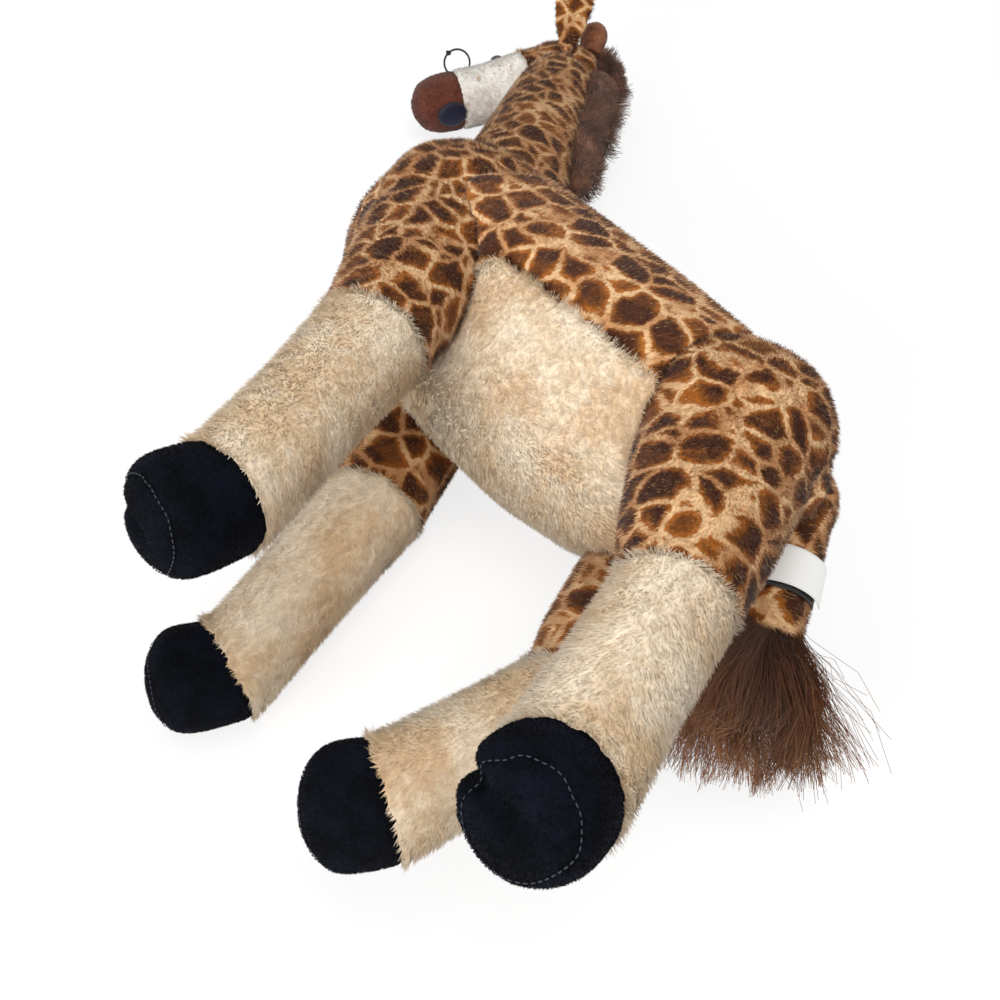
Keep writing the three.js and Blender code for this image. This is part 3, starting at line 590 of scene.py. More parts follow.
def seam_gap(fields):
    """How far each vertex is from the nearest seam"""
    if fields.shape[1] < 2:
        return np.full(len(fields), 1.0)
    ordered = np.sort(fields, axis=1)
    return ordered[:, 1] - ordered[:, 0]


def plumped(mesh, still, cap):
    """Blows a skin up with Blender's Cloth while the vertices in still are held"""
    start = places(mesh)
    form = named("form", mesh)
    group = form.vertex_groups.new(name="sewn")
    group.add([int(i) for i in np.nonzero(still)[0]], 1.0, "REPLACE")
    blow = form.modifiers.new("cloth", "CLOTH").settings
    blow.quality, blow.mass = 4, 0.3
    blow.use_pressure, blow.uniform_pressure_force = True, PRESSURE
    blow.vertex_group_mass = "sewn"
    blow.effector_weights.gravity = 0
    for step in range(1, PLUMP_STEPS + 1):
        scene.frame_set(step)
    blown = finished(form)
    scene.frame_set(1)
    moved = places(blown) - start
    far = np.linalg.norm(moved, axis=1, keepdims=True)
    moved *= np.minimum(1, cap / np.maximum(far, 1e-9))
    blown.vertices.foreach_set("co", (start + moved).ravel())
    print("  blown by up to", round(float(far.max()) / MM, 1), "mm, kept to", cap / MM)
    return blown

# %% [markdown]
# The stuffed skin is then cut along its seams: every edge that crosses from one panel's side to
# another's is split there, so that the panels meet in a clean line, and the cloth is drawn in
# a little along it, as a sewn seam is.

# %% Cut the panels apart
SEAM_DEEP, SEAM_WIDE = 2.0 * MM, 3.5 * MM
CLOTH_THICK = 2.0 * MM
SNAP = 0.12


def slit(made, layer):
    """Splits the edges and faces of a bmesh where a value of its vertices is zero"""
    for e in list(made.edges):
        one, other = e.verts
        a, b = one[layer], other[layer]
        if a * b >= 0:
            continue
        share = a / (a - b)
        if share < SNAP:
            one[layer] = 0.0
        elif share > 1 - SNAP:
            other[layer] = 0.0
        else:
            _, fresh = bmesh.utils.edge_split(e, one, share)
            fresh[layer] = 0.0
    for f in list(made.faces):
        on = [v for v in f.verts if v[layer] == 0.0]
        sides = {v[layer] > 0 for v in f.verts if v[layer] != 0.0}
        if len(on) == 2 and len(sides) == 2:
            if not any(on[0] in e.verts and on[1] in e.verts for e in f.edges):
                bmesh.utils.face_split(f, on[0], on[1])


def note_sides(mesh, fields):
    """Keeps on each vertex how far it is on every panel's side, and its gap to the seam"""
    count = fields.shape[1]
    columns = {"gap": seam_gap(fields)}
    for i in range(count):
        others = np.delete(fields, i, axis=1)
        columns[f"side_{i}"] = fields[:, i] - (others.min(axis=1) if count > 1 else 1.0)
    for title, values in columns.items():
        kept = mesh.attributes.new(title, "FLOAT", "POINT")
        kept.data.foreach_set("value", values.astype(np.float32))


def cut_panels(mesh, panels):
    """The mesh of each panel, cut from a stuffed skin and drawn in along its seams"""
    made = opened(mesh)
    made.normal_update()
    floats = made.verts.layers.float
    gap = floats["gap"]
    for v in made.verts:
        v.co -= v.normal * (SEAM_DEEP * math.exp(-((v[gap] / SEAM_WIDE) ** 2)))
    layers = [floats[f"side_{i}"] for i in range(len(panels))]
    for layer in layers[1:]:
        slit(made, layer)
    made.faces.ensure_lookup_table()
    owner = []
    for f in made.faces:
        means = [sum(v[layer] for v in f.verts) / len(f.verts) for layer in layers]
        owner.append(means.index(min(means)))
        f.smooth = True
    meshes = {}
    for i, panel in enumerate(panels):
        part = made.copy()
        part.faces.ensure_lookup_table()
        gone = [part.faces[k] for k, own in enumerate(owner) if own != i]
        bmesh.ops.delete(part, geom=gone, context="FACES")
        for layer in list(part.verts.layers.float.values()):
            part.verts.layers.float.remove(layer)
        meshes[panel] = mesh_of(part)
    made.free()
    return meshes


def thick_cloth(mesh, thick=CLOTH_THICK):
    """A panel with its inner side, closed along its edges"""
    return shaped(mesh, "SOLIDIFY", thickness=thick, offset=-1)


# %% [markdown]
# ## The pile
# A strand of pile is a thin three-sided spike. Geometry Nodes scatter them over a panel, lean
# them along the nap with some swirl, as a hand has left them, and keep each root's place and a
# random shade for the finish.

# %% The node tree of the pile
PILE_SEED, PILE_LOW = 7, 0.3 * MM
SWIRL_SCALE, PILE_CLUMP_SCALE = 28, 150


def tree_with(name, numbers, vectors, materials):
    """The wire of an empty Geometry Nodes tree, and a wire for each of its named inputs"""
    tree = bpy.data.node_groups.new(name, "GeometryNodeTree")
    kinds = {"Geometry": ["Geometry"], "Float": numbers, "Vector": vectors, "Material": materials}
    for kind, titles in kinds.items():
        for title in titles:
            tree.interface.new_socket(name=title, in_out="INPUT", socket_type=f"NodeSocket{kind}")
    tree.interface.new_socket(name="Geometry", in_out="OUTPUT", socket_type="NodeSocketGeometry")
    inputs = tree.nodes.new("NodeGroupInput").outputs
    return Wire(tree), {s.name: Wire(tree, s) for s in inputs if s.name}


def scattered(w, given, seed):
    """Points strewn over the source, with their normals and their places"""
    points = w.node("GeometryNodeDistributePointsOnFaces", None, {
        "Mesh": given["Geometry"], "Density": given["Density"], "Seed": seed})
    return points, points.output("Normal"), w.node("GeometryNodeInputPosition")


def turned(w, way):
    """The rotation that lays Z along a way"""
    return w.node("FunctionNodeAlignRotationToVector", {"axis": "Z"}, {"Vector": way})


def copied(w, points, shape, turn, size):
    """A copy of a shape on every point, as one mesh or curve"""
    stood = w.node("GeometryNodeInstanceOnPoints", None, {
        "Points": points, "Instance": shape, "Rotation": turn, "Scale": size})
    return w.node("GeometryNodeRealizeInstances", None, {"Geometry": stood})


def over_ground(w, shape, low):
    """A shape whose points are lifted to a least height"""
    x, y, z = w.node("GeometryNodeInputPosition").parts()
    z = w.node("ShaderNodeMath", {"operation": "MAXIMUM"}, {0: z, 1: low})
    above = w.node("ShaderNodeCombineXYZ", None, {0: x, 1: y, 2: z})
    return w.node("GeometryNodeSetPosition", None, {"Geometry": shape, "Position": above})


def tree_done(w, shape, paint):
    """The tree, with its shape shaded smooth, in a finish and led out"""
    smooth = w.node("GeometryNodeSetShadeSmooth", None, {"Geometry": shape})
    dressed = w.node("GeometryNodeSetMaterial", None, {"Geometry": smooth, "Material": paint})
    w.node("NodeGroupOutput", None, {0: dressed})
    return w.tree


def grow(tree, source, values):
    """Runs a tree on a copy of a mesh and gives the plain mesh that it makes"""
    form = named("form", source.copy())
    growth = form.modifiers.new("growth", "NODES")
    growth.node_group = tree
    for item in tree.interface.items_tree:
        if item.in_out == "INPUT" and item.name in values:
            growth[item.identifier] = values[item.name]
    return finished(form)


def pile_tree():
    """Spikes scattered over a panel and leaned along its nap"""
    w, given = tree_with("pile", ["Density", "Length", "Width", "Lean", "Swirl"], ["Nap"],
                         ["Pile"])
    points, normal, root = scattered(w, given, PILE_SEED)
    swirl = root.noise(SWIRL_SCALE, 1, 1) + root.noise(PILE_CLUMP_SCALE, 1, 1) * 2 - 1.5
    nap = given["Nap"] + swirl.scaled(given["Swirl"])
    off = w.node("ShaderNodeVectorMath", {"operation": "DOT_PRODUCT"}, {0: nap, 1: normal}, 1)
    flat = w.node("ShaderNodeVectorMath", {"operation": "NORMALIZE"},
                  {0: nap - normal.scaled(off)})
    jitter = w.random((-0.25,) * 3, (0.25,) * 3, PILE_SEED + 1)
    way = normal + flat.scaled(given["Lean"]) + jitter
    tall = w.random(0.65, 1.2, PILE_SEED + 2)
    size = w.node("ShaderNodeCombineXYZ", None, {
        0: given["Width"], 1: given["Width"], 2: given["Length"] * tall})
    points = points.stored("root", root, "FLOAT_VECTOR").stored("lie", normal, "FLOAT_VECTOR")
    points = points.stored("shade", w.random(0.0, 1.0, PILE_SEED + 3))
    spike = w.node("GeometryNodeMeshCone", {"fill_type": "NONE"}, {
        "Vertices": 3, "Radius Bottom": 1.0, "Radius Top": 0.0, "Depth": 1.0})
    grown = copied(w, points, spike, turned(w, way), size)
    return tree_done(w, over_ground(w, grown, PILE_LOW), given["Pile"])

PILE = pile_tree()
# Each finish: strands for each square metre, their length and width
PILE_SIZES = {
    "spotted_plush": (480_000, 4.2 * MM, 0.37 * MM),
    "cream_plush": (480_000, 5.0 * MM, 0.37 * MM),
    "white_plush": (480_000, 3.2 * MM, 0.35 * MM),
    "brown_plush": (600_000, 1.8 * MM, 0.3 * MM),
    "horn_velour": (600_000, 1.6 * MM, 0.26 * MM),
    "hoof_velour": (600_000, 1.2 * MM, 0.28 * MM),
}

# %% [markdown]
# One function now dresses a body: it stuffs the form, cuts the panels, gives each its cloth and its
# pile, and hides the imported solids that the pieces stand for.

# %% Dress a body
MOST_STRANDS = 48_000
PILE_LEAN, PILE_SWIRL = 1.1, 1.6
FRINGE_WIDE, FRINGE_SIZES = 3 * MM, (900_000, 6.5 * MM, 0.4 * MM)
FRINGE_LEAN, FRINGE_SWIRL = 0.5, 2.6
FRINGES = ("cream_plush", "spotted_plush")


def area_of(mesh):
    """The area of a mesh"""
    made = opened(mesh)
    total = sum(f.calc_area() for f in made.faces)
    made.free()
    return total


def lie_with(grown, share=0.75):
    """Shades the strands mostly as the cloth under them, so that the pile looks soft"""
    count = len(grown.vertices)
    under, own = np.empty(count * 3, np.float32), np.empty(count * 3, np.float32)
    grown.attributes["lie"].data.foreach_get("vector", under)
    grown.vertices.foreach_get("normal", own)
    grown.attributes.remove(grown.attributes["lie"])
    both = (under * share + own * (1 - share)).reshape(-1, 3)
    both /= np.maximum(np.linalg.norm(both, axis=1, keepdims=True), 1e-9)
    grown.normals_split_custom_set_from_vertices(both.tolist())


def piled(name, body, mesh, finish, sizes, lean, swirl, nap):
    """The pile of one finish that stands on a mesh"""
    thick, tall, wide = sizes
    grown = grow(PILE, mesh, {"Density": thick, "Length": tall, "Width": wide, "Lean": lean,
                              "Swirl": swirl, "Nap": nap, "Pile": piles[finish]})
    lie_with(grown)
    joined(name, grown, body)


def rim_of(mesh, wide):
    """The strip of a panel that lies along its cut edges"""
    made = opened(mesh)
    edge = [v.co.copy() for v in made.verts if v.is_boundary]
    tree = KDTree(len(edge))
    for i, at in enumerate(edge):
        tree.insert(at, i)
    tree.balance()
    inner = [f for f in made.faces if tree.find(f.calc_center_median())[2] > wide]
    bmesh.ops.delete(made, geom=inner, context="FACES")
    return mesh_of(made)


def near_boxes(mesh, other):
    """Whether another solid's box comes near a mesh"""
    own, theirs = places(mesh), places(other.data)
    low = np.maximum(own.min(axis=0), theirs.min(axis=0))
    high = np.minimum(own.max(axis=0), theirs.max(axis=0))
    return bool((low - high < NEIGHBOUR_REACH).all())


def dress(body, mesh, panels, filling, nap, cap=3 * MM, carve=None):
    """Stuffs one body's skin and dresses it; panels is {node: finish}, and their sheets come out"""
    names = list(panels)
    fields = seam_fields(mesh, names)
    note_sides(mesh, fields)
    still = seam_gap(fields) < SEWN_REACH
    close = [n for n in nodes if nodes[n]["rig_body"] != body and near_boxes(mesh, nodes[n])]
    for v in mesh.vertices:
        still[v.index] = still[v.index] or any(
            surface[n].find_nearest(v.co, NEIGHBOUR_REACH)[0] is not None for n in close)
    mesh = plumped(mesh, still, cap)
    if carve:
        mesh = shaped(mesh, "SUBSURF", levels=1, render_levels=1)
        carve(mesh)
    sheets, made = cut_panels(mesh, names), []
    for node, finish in panels.items():
        sheet = sheets[node]
        piece = joined(f"{node}_cloth", thick_cloth(sheet.copy()), body,
                       cloth[finish])
        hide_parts(node)
        if finish in PILE_SIZES:
            thick, tall, wide = PILE_SIZES[finish]
            sizes = (min(thick, MOST_STRANDS / area_of(sheet)), tall, wide)
            piled(f"{node}_pile", body, sheet, finish, sizes, PILE_LEAN, PILE_SWIRL, nap)
        if len(names) > 1 and finish in FRINGES:
            piled(f"{node}_fringe", body, rim_of(sheet, FRINGE_WIDE), finish, FRINGE_SIZES,
                  FRINGE_LEAN, FRINGE_SWIRL, nap)
        made.append(piece)
    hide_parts(*filling)
    print(body, "cloth:", {p.name: len(p.data.polygons) for p in made})
    return sheets

# %% [markdown]
# ## Skins
# The legs, the tail and the head are remeshed as they are. The torso and the neck have rooms in
# their solids, in which the limbs swing. On the toy the cloth fills those rooms and is pressed
# in by the limb, so their skins start from the full form, and each neighbour is cut out of it.
# The hooves start full as well, because their clefts are carved later with a softer edge.

# %% Skins of every body
LEGS = ["left_front", "right_front", "left_hind", "right_hind"]
LEG_VOXEL, TORSO_VOXEL, HEAD_VOXEL, TAIL_VOXEL = 5 * MM, 4 * MM, 3 * MM, 2.5 * MM
LEG_PANELS = {"leg_sleeve": "spotted_plush", "leg_sock": "cream_plush",
              "hoof": "hoof_velour", "sole": "hoof_velour"}
HEAD_PANELS = {"head_pelt": "spotted_plush", "face_panel": "white_plush", "muzzle": "brown_plush"}
TORSO_PANELS = {"torso_pelt": "spotted_plush", "belly_panel": "cream_plush"}

leg_skins = {}
for leg in LEGS:
    made = welded([f"{leg}_leg_sleeve", f"{leg}_leg_sock", f"{leg}_leg_stuffing"])
    made.from_mesh(hull([f"{leg}_hoof", f"{leg}_sole"]))
    leg_skins[leg] = skin(mesh_of(made), LEG_VOXEL, 10)
tail_skin = skin_of(["tail_pelt", "tail_stuffing"], TAIL_VOXEL, 6)
head_skin = skin_of([*HEAD_PANELS, "head_stuffing"], HEAD_VOXEL, 10)
neck_form = pressed(hull(["neck_pelt", "neck_stuffing"]), [head_skin])
neck_skin = skin(neck_form, LEG_VOXEL, 10)
torso_form = pressed(hull(list(TORSO_PANELS)), [*leg_skins.values(), tail_skin, neck_skin])
torso_skin = skin(torso_form, TORSO_VOXEL, 8)
print("skins:", len(torso_skin.polygons), len(neck_skin.polygons), len(head_skin.polygons),
      {leg: len(mesh.polygons) for leg, mesh in leg_skins.items()})

# %% [markdown]
# ## The torso, the neck and the head
# The torso is a barrel in printed plush with a cream panel let into the belly. Its nap runs from
# the neck to the tail, and the head's from the nose to the poll.

# %% Torso, neck and head
to_tail = -FORWARD
dress("torso", torso_skin, TORSO_PANELS, ["torso_stuffing"], to_tail)
dress("neck", neck_skin, {"neck_pelt": "spotted_plush"}, ["neck_stuffing"], to_tail)
dress("head", head_skin, HEAD_PANELS, ["head_stuffing"], to_tail)
dress("tail", tail_skin, {"tail_pelt": "spotted_plush"}, ["tail_stuffing"], to_tail, cap=1 * MM)

# %% [markdown]
# ## The legs
# Each leg is a printed sleeve, a cream sock and a hoof of short velour with a sole. The hoof is
# cloven: a stitched crease runs down its toe, made by drawing the refined skin in along a plane.

# %% Legs
CLEFT_DEEP, CLEFT_WIDE, CLEFT_BACK = 7 * MM, 5 * MM, 16 * MM
CLEFT_FROM, CLEFT_REACH, FRONT_RAMP, RISE_RAMP = -20 * MM, 70 * MM, 24 * MM, 14 * MM


def middle(node):
    """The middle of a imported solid's box"""
    low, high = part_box(node)
    return (low + high) / 2


def cloven(leg):
    """A carver that draws a crease down the toe of a leg's hoof"""
    centre = middle(f"{leg}_hoof")
    way = (middle(f"{leg}_sole") - centre).normalized()
    toe = way.cross(LEFT).normalized()
    side = way.cross(toe)

    def carve(mesh):
        for v in mesh.vertices:
            off = v.co - centre
            along, fore, across = off.dot(way), off.dot(toe), off.dot(side)
            if along < CLEFT_FROM or off.length > CLEFT_REACH:
                continue
            front = min(max((fore + CLEFT_BACK) / FRONT_RAMP, 0), 1)
            rise = min(max((along + RISE_RAMP) / RISE_RAMP, 0), 1)
            pull = CLEFT_DEEP * front * rise * math.exp(-((across / CLEFT_WIDE) ** 2))
            v.co -= (off - side * across).normalized() * pull
        mesh.update()

    return carve


soles = {}
for leg in LEGS:
    to_hoof = (middle(f"{leg}_sole") - hinges[f"{leg}_leg"]).normalized()
    panels = {f"{leg}_{panel}": finish for panel, finish in LEG_PANELS.items()}
    sheets = dress(f"{leg}_leg", leg_skins[leg], panels, [f"{leg}_leg_stuffing"], to_hoof,
                   carve=cloven(leg))
    soles[leg] = sheets[f"{leg}_sole"]

# %% [markdown]
# ## Horns, ears and tongue
# The small pieces are remeshed finer, so that their thin edges stay.

# %% Horns, ears and tongue
# Each piece: its voxel, rounds of smoothing, finish, and how far it may be blown up
SMALL = {"horn": (2 * MM, 6, "horn_velour", 1 * MM), "ear": (1.6 * MM, 5, "spotted_plush", 1 * MM),
         "ear_lining": (1.0 * MM, 2, "cream_plush", 0.5 * MM),
         "tongue": (1.5 * MM, 4, "navy_velour", 0.5 * MM)}


def dress_small(body, node, voxel, soften, finish, cap):
    """Dresses a piece that is one solid"""
    dress(body, skin_of([node], voxel, soften), {node: finish}, [], to_tail, cap=cap)


for side in ("left", "right"):
    dress_small("head", f"{side}_horn", *SMALL["horn"])
    dress_small(f"{side}_ear", f"{side}_ear", *SMALL["ear"])
    dress_small(f"{side}_ear", f"{side}_ear_lining", *SMALL["ear_lining"])
dress_small("head", "tongue", *SMALL["tongue"])

# %% [markdown]
# ## Hair
# The mane and the tail's tuft are long pile. Geometry Nodes stand a bent, tapered fibre on each
# scattered root: the curve is resampled, drawn down by its own weight more and more toward the
# tip, and given a three-sided wall.

# %% The node tree of the hair
HAIR_SEED, HAIR_POINTS, HAIR_LOW = 3, 5, 0.5 * MM
CLUMP_SCALE, CURL_SCALE = 160, 35


def hair_tree():
    """Bent fibres scattered over a root cloth"""
    w, given = tree_with("hair", ["Density", "Length", "Width", "Jitter", "Droop", "Curl"],
                         ["Nap"], ["Hair"])
    points, normal, root = scattered(w, given, HAIR_SEED)
    stray = w.random((-1,) * 3, (1,) * 3, HAIR_SEED + 1)
    wild = w.random(0.4, 1.0, HAIR_SEED + 2)
    stray = stray.scaled(wild * wild * wild * given["Jitter"])
    clump = (root.noise(CLUMP_SCALE, 2, 1) - 0.5).scaled(given["Jitter"] * 2)
    way = normal + given["Nap"] + stray + clump
    tall = w.random(0.4, 1.05, HAIR_SEED + 3)
    points = points.stored("root", root, "FLOAT_VECTOR")
    points = points.stored("shade", w.random(0.0, 1.0, HAIR_SEED + 4))
    line = w.node("GeometryNodeCurvePrimitiveLine", None, {"End": (0, 0, 1)})
    line = w.node("GeometryNodeResampleCurve", None, {"Curve": line, "Count": HAIR_POINTS})
    stood = copied(w, points, line, turned(w, way), given["Length"] * tall)
    share = w.node("GeometryNodeSplineParameter")
    curl = w.node("GeometryNodeInputPosition").noise(CURL_SCALE, 1, 1) - 0.5
    curl = curl.scaled(given["Curl"] * share)
    fall = w.node("ShaderNodeCombineXYZ", None, {2: given["Droop"] * (share * share) * -1})
    hung = w.node("GeometryNodeSetPosition", None, {"Geometry": stood, "Offset": curl + fall})
    own = w.node("GeometryNodeInputNamedAttribute", {"data_type": "FLOAT"}, {"Name": "shade"})
    laid = over_ground(w, hung, HAIR_LOW).stored("shade", share * 0.75 + own * 0.25)
    wide = w.node("GeometryNodeSetCurveRadius", None, {"Curve": laid, "Radius": 1.1 - share})
    ring = w.node("GeometryNodeCurvePrimitiveCircle", None,
                  {"Resolution": 3, "Radius": given["Width"]})
    tube = w.node("GeometryNodeCurveToMesh", None,
                  {"Curve": wide, "Profile Curve": ring, "Fill Caps": False})
    return tree_done(w, tube, given["Hair"])


HAIR = hair_tree()


def haired(name, body, source, finish, strands, values, stands_for=()):
    """Hair on a root cloth; values go to the tree's inputs by name"""
    grown = grow(HAIR, source, {**values, "Density": strands / area_of(source),
                                "Hair": piles[finish]})
    joined(name, grown, body, None, stands_for)
    print(name, "faces:", len(grown.polygons))


# %% [markdown]
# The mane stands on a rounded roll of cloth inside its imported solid, which shows where the
# fibres part.

# %% Manes
MANES = {"neck_mane": ("neck", 6500), "poll_mane": ("head", 4200), "withers_mane": ("torso", 1200)}
MANE_CORE = 2.5 * MM
MANE_HAIR = {"Length": 12 * MM, "Width": 0.15 * MM, "Jitter": 1.0, "Droop": 0.0, "Curl": 0.03,
             "Nap": tuple(to_tail * 0.5)}
for node, (body, strands) in MANES.items():
    roll = skin_of([node], 3 * MM, 8)
    core = smoothed(shaped(roll, "DISPLACE", strength=-MANE_CORE, mid_level=0))
    haired(f"{node}_hair", body, core, "mane_plush", strands, MANE_HAIR)
    roll_piece = joined(f"{node}_roll", core, body, cloth["mane_plush"], [node])

# %% [markdown]
# The tuft's fibres leave the tail's end in a flat fan, wider fore and aft. A small bowed patch
# whose normals already fan out is their root, so the same tree serves.

# %% Tail tuft
TAIL_LONG, TUFT_LONG = 92 * MM, 87.36 * MM
TUFT_FORE, TUFT_ASIDE, TUFT_BOW, TUFT_ASIDE_BOW = 17 * MM, 13 * MM, 9 * MM, 4 * MM
TUFT_SIDE, TUFT_SUNK = Vector((-1, -0.3, 0)), 6 * MM
tail_way, tuft_way = downward(33, -22), downward(47, -37)
tail_end = hinges["tail"] + tail_way * TAIL_LONG
tuft_fore = LEFT.cross(tuft_way).normalized()
tuft_aside = tuft_way.cross(tuft_fore)


def bowed_patch(rings=6, sides=20):
    """The end of the tail: an oval patch that bulges along the tuft's way"""
    made = bmesh.new()
    rows = []
    for i in range(rings + 1):
        row = []
        for k in range(sides):
            turn = 2 * math.pi * k / sides
            fore, aside = i / rings * math.cos(turn), i / rings * math.sin(turn)
            at = tail_end + tuft_fore * fore * TUFT_FORE + tuft_aside * aside * TUFT_ASIDE
            at -= tuft_way * (TUFT_BOW * fore ** 2 + TUFT_ASIDE_BOW * aside ** 2 + TUFT_SUNK)
            row.append(made.verts.new(at))
        rows.append(row)
    for i in range(rings):
        for k in range(sides):
            n = (k + 1) % sides
            made.faces.new((rows[i][k], rows[i][n], rows[i + 1][n], rows[i + 1][k]))
    bmesh.ops.remove_doubles(made, verts=made.verts, dist=DOUBLES)
    bmesh.ops.recalc_face_normals(made, faces=made.faces)
    made.normal_update()
    if sum(f.normal.dot(tuft_way) for f in made.faces) < 0:
        bmesh.ops.reverse_faces(made, faces=made.faces)
    return smoothed(mesh_of(made))


TUFT_HAIR = {"Length": TUFT_LONG, "Width": 0.14 * MM, "Jitter": 0.4, "Droop": 0.01, "Curl": 0.06,
             "Nap": tuple(TUFT_SIDE * 0.34)}
haired("tail_tuft_hair", "tail", bowed_patch(), "tuft_plush", 7500, TUFT_HAIR, ["tail_tuft"])

# %% [markdown]
# ## Stitches
# The sole of each hoof is sewn in with a thick thread that shows as a row of short stitches.
# Geometry Nodes turn the panel's cut edge into a curve and set a small bead of thread on it at
# each step of the needle.

# %% Stitches round the soles
STITCH_SIZES = {"Pitch": 3.4 * MM, "Length": 2.6 * MM, "Thickness": 0.8 * MM}
STITCH_LIFT, EVEN_ROUNDS = 1.2 * MM, 8


def stitch_tree():
    """Beads of thread along the edges of a mesh"""
    w, given = tree_with("stitches", list(STITCH_SIZES), [], ["Thread"])
    line = w.node("GeometryNodeMeshToCurve", None, {"Mesh": given["Geometry"]})
    steps = w.node("GeometryNodeCurveToPoints", {"mode": "LENGTH"},
                   {"Curve": line, "Length": given["Pitch"]})
    bead = w.node("GeometryNodeMeshUVSphere", None, {"Segments": 6, "Rings": 4, "Radius": 0.5})
    size = w.node("ShaderNodeCombineXYZ", None, {
        0: given["Thickness"], 1: given["Thickness"], 2: given["Length"]})
    sewn = copied(w, steps, bead, steps.output("Rotation"), size)
    return tree_done(w, sewn, given["Thread"])


def cut_edge(mesh, lift):
    """The cut edges of a panel as an even line that lies on its cloth"""
    made = opened(mesh)
    made.normal_update()
    edges = [e for e in made.edges if e.is_boundary]
    ends = [v for v in made.verts if v.is_boundary]
    number = {v: i for i, v in enumerate(ends)}
    pairs = np.array([[number[v] for v in e.verts] for e in edges])
    spots = np.array([v.co + v.normal * lift for v in ends])
    made.free()
    for _ in range(EVEN_ROUNDS):
        total, count = np.zeros_like(spots), np.zeros((len(spots), 1))
        for one, other in (pairs.T, pairs.T[::-1]):
            np.add.at(total, one, spots[other])
            np.add.at(count, one, 1)
        spots = (spots + total / count) / 2
    line = bpy.data.meshes.new("line")
    line.from_pydata(spots.tolist(), pairs.tolist(), [])
    return line


def plain_finish(name, colour, worn, roughness, bump, size):
    """A dye with a fine grain, for thread, tape and plastic"""
    paint, shader, w = fresh_paint(name)
    grain = patches(w.node("ShaderNodeTexCoord", None, None, 3), size, 3)
    w.feed(shader.inputs["Base Color"], grain.between(0.35, 0.7).mix(dye(colour), dye(worn)))
    w.feed(shader.inputs["Roughness"], grain * (roughness * 0.3) + roughness * 0.85)
    w.feed(shader.inputs["Normal"], grain.bump(bump, size * 0.3))
    return paint


STITCHES = stitch_tree()
thread = plain_finish("hoof_thread", "202635", "12151e", 0.6, 0.6, 0.0004)
for leg in LEGS:
    sewn = grow(STITCHES, cut_edge(soles[leg], STITCH_LIFT), {**STITCH_SIZES, "Thread": thread})
    joined(f"{leg}_stitches", sewn, f"{leg}_leg")

# %% [markdown]
# ## Eyes
# An eye is a glossy domed button. Its shank goes through the cloth and a clear washer grips it
# inside the head. The button is remeshed fine, so that its dome is round; the washer is as
# packed, with a finish of its own.

# %% Eyes and washers
gloss = plain_finish("black_plastic", "060606", "0b0a0a", 0.1, 0.05, 0.004)
gloss.node_tree.nodes["Principled BSDF"].inputs["Coat Weight"].default_value = 0.6
clear = plain_finish("clear_nylon", "dededa", "cfd0cc", 0.35, 0.1, 0.002)
for side in ("left", "right"):
    dome = smoothed(skin_of([f"{side}_eye"], 0.7 * MM, 8))
    joined(f"{side}_eye_button", dome, "head", gloss, [f"{side}_eye"])
    for room in nodes[f"{side}_eye_washer"].material_slots:
        room.material = clear

# %% [markdown]
# ## The tag's elastic
# A round elastic comes out of the seam above the muzzle, is knotted on top and goes back in. It
# is a cord of fixed length, so its path is one round of a circle, less what hides in the seam.

# %% Tag loop
HEAD_LONG, LOOP_SHARE, MUZZLE_HALF = 136 * MM, 0.83, 28 * MM
LOOP_RISE, LOOP_RADIUS, LOOP_THICK, LOOP_STEPS = 8.5 * MM, 13 * MM, 2 * MM, 36
LOOP_FROM, LOOP_TO, KNOT_TURN = -82, 262, 132
KNOT_MIDDLE, KNOT_SWAY, KNOT_HALF, KNOT_STEPS = 1.3, 0.62, 0.95 * MM, 60
VIEW_WAY, VIEW_UP = animal(-0.51, 0.556, -0.65).normalized(), animal(0.587, 0.731, 0.348)
loop_up = (VIEW_UP - VIEW_WAY * VIEW_UP.dot(VIEW_WAY)).normalized()
loop_right = loop_up.cross(VIEW_WAY)
head_way = downward(-22.1, -13.4)
loop_centre = hinges["head"] + head_way * (HEAD_LONG * LOOP_SHARE)
loop_centre += loop_up * (MUZZLE_HALF + LOOP_RISE)


def loop_point(turn):
    """A place on the loop's circle, by its angle in degrees"""
    around = math.radians(turn)
    return loop_centre + (loop_right * math.cos(around) + loop_up * math.sin(around)) * LOOP_RADIUS


def knot_point(turn):
    """A trefoil, which is what a pulled overhand knot looks like"""
    flat = KNOT_MIDDLE + KNOT_SWAY * math.cos(3 * turn)
    return (loop_point(KNOT_TURN) + loop_right * (flat * math.cos(2 * turn) * MM)
            + loop_up * (flat * math.sin(2 * turn) * MM) + VIEW_WAY * (math.sin(3 * turn) * MM))


def tube(points, radius, closed=False):
    """A round cord along points, as a mesh"""
    curve = bpy.data.curves.new("cord", "CURVE")
    curve.dimensions, curve.bevel_depth, curve.bevel_resolution = "3D", radius, 3
    curve.use_fill_caps = True
    line = curve.splines.new("POLY")
    line.points.add(len(points) - 1)
    for slot, at in zip(line.points, points):
        slot.co = (*at, 1)
    line.use_cyclic_u = closed
    return smoothed(finished(named("form", curve)))


elastic = plain_finish("black_elastic", "0c0c0d", "1c1c1e", 0.7, 0.8, 0.0005)
span = LOOP_TO - LOOP_FROM
loop_path = [loop_point(LOOP_FROM + span * i / LOOP_STEPS) for i in range(LOOP_STEPS + 1)]
loop_long = sum((b - a).length for a, b in zip(loop_path, loop_path[1:]))
knot_path = [knot_point(2 * math.pi * i / KNOT_STEPS) for i in range(KNOT_STEPS)]
loop = joined("tag_elastic", tube(loop_path, LOOP_THICK / 2), "head", elastic,
              ["tag_loop"])
knot = joined("tag_knot", tube(knot_path, KNOT_HALF, True), "head", elastic,
              ["tag_loop_knot"])
print("tag loop:", round(loop_long / MM, 1), "mm")

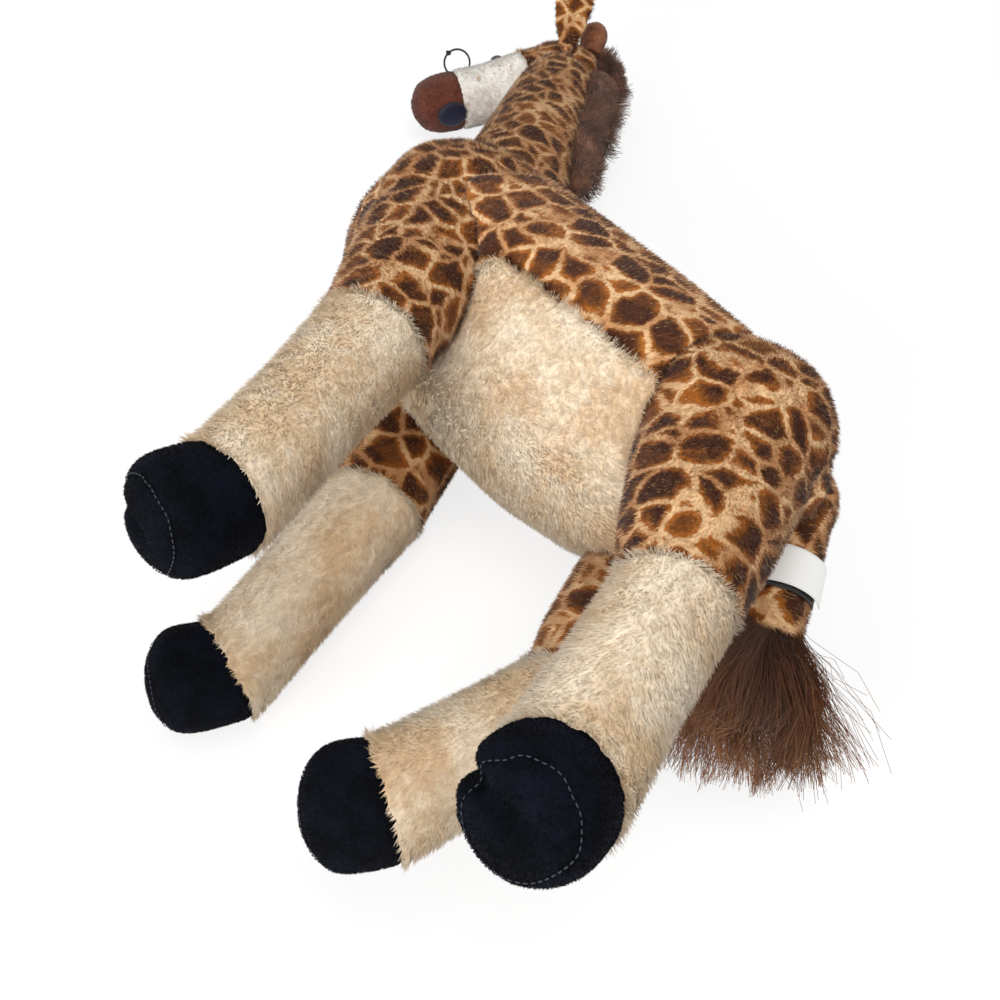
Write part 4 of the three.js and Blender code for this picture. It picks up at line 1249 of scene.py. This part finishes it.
# %% [markdown]
# ## The sewn label
# A woven tape goes once under the tail and is folded back over itself: white outside, black
# inside. The fold is a little skewed, so the black layer shows along the lower edge. The tape
# is left bare.

# %% Label
LABEL_WIDE, LABEL_THICK, LABEL_SHARE, LABEL_STEPS = 25 * MM, 0.5 * MM, 0.6, 28
LABEL_UNDER, LABEL_OVER, LABEL_SKEW, LABEL_LIFT = 22.8 * MM, 24.6 * MM, 2.2 * MM, 1.2 * MM
LABEL_FROM, LABEL_TO = math.radians(-72), math.radians(38)
TAPE_THREAD, TAPE_ACROSS, FOLD_STEPS = 0.55 * MM, 12, 8
label_way = (VIEW_WAY - tail_way * VIEW_WAY.dot(tail_way)).normalized()
label_side = tail_way.cross(label_way)
label_start = hinges["tail"] + tail_way * (LABEL_SHARE * TAIL_LONG - LABEL_WIDE / 2)
fold_middle, fold_half = (LABEL_OVER + LABEL_UNDER) / 2, (LABEL_OVER - LABEL_UNDER) / 2


def tape_line():
    """The tape's centre line round the tail: its place, and how far it is the inner layer"""
    rows = []
    for i in range(LABEL_STEPS + 1):
        share = i / LABEL_STEPS
        turn = LABEL_FROM + (LABEL_TO - LABEL_FROM) * share
        rows.append((LABEL_OVER + LABEL_LIFT * (1 - share) ** 3, turn, 0.0))
    for i in range(1, FOLD_STEPS):
        bend = math.pi * i / FOLD_STEPS
        turn = LABEL_TO + math.sin(bend) * fold_half / fold_middle
        rows.append((fold_middle + math.cos(bend) * fold_half, turn, i / FOLD_STEPS))
    for i in range(LABEL_STEPS + 1):
        share = i / LABEL_STEPS
        rows.append((LABEL_UNDER, LABEL_TO + (LABEL_FROM - LABEL_TO) * share, 1.0))
    return [(label_way * (far * math.cos(turn)) + label_side * (far * math.sin(turn)), inner)
            for far, turn, inner in rows]


def tape_mesh():
    """The tape as one thin sheet with its weave's coordinates"""
    rows = tape_line()
    made = bmesh.new()
    inside = made.verts.layers.float.new("inside")
    weave = made.verts.layers.float_vector.new("weave")
    grid, along = [], 0.0
    for i, (at, inner) in enumerate(rows):
        along += (at - rows[i - 1][0]).length if i else 0
        line = []
        for k in range(TAPE_ACROSS + 1):
            over = LABEL_WIDE * k / TAPE_ACROSS
            v = made.verts.new(label_start + at + tail_way * (over + LABEL_SKEW * inner))
            v[inside], v[weave] = inner, (along, over, 0)
            line.append(v)
        grid.append(line)
    for a, b in zip(grid, grid[1:]):
        for k in range(TAPE_ACROSS):
            made.faces.new((a[k], a[k + 1], b[k + 1], b[k])).smooth = True
    return mesh_of(made), along


def tape_finish():
    """Woven tape: white on the outer layer and black on the inner"""
    paint, shader, w = fresh_paint("woven_tape")
    threads = [w.node("ShaderNodeMath", {"operation": "SINE"},
                      {0: part * (2 * math.pi / TAPE_THREAD)})
               for part in w.attribute("weave", 1).parts()[:2]]
    height = threads[0] * threads[1] * 0.5 + 0.5
    # The colour follows the weave's height: painted shade in the hollows between threads and a
    # painted highlight on their tops
    white = height.mix(dye("dcdcd8"), dye("f2f2ef"))
    black = height.mix(dye("0b0b0c"), dye("1d1d1f"))
    colour = w.attribute("inside").between(0.45, 0.55).mix(white, black)
    w.feed(shader.inputs["Base Color"], colour)
    w.feed(shader.inputs["Normal"], height.bump(0.4, 0.0002))
    shader.inputs["Roughness"].default_value = 0.6
    return paint


tape, tape_long = tape_mesh()
label_sheet = joined("label_tape", thick_cloth(tape, LABEL_THICK), "tail", tape_finish(),
                     ["label"])
print("label cut:", round(LABEL_WIDE / MM, 1), "by", round(tape_long / MM, 1), "mm")

# %% Count the triangles and finish
total = sum(len(o.data.loop_triangles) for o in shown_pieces() if o.type == "MESH")
print("triangles:", total)
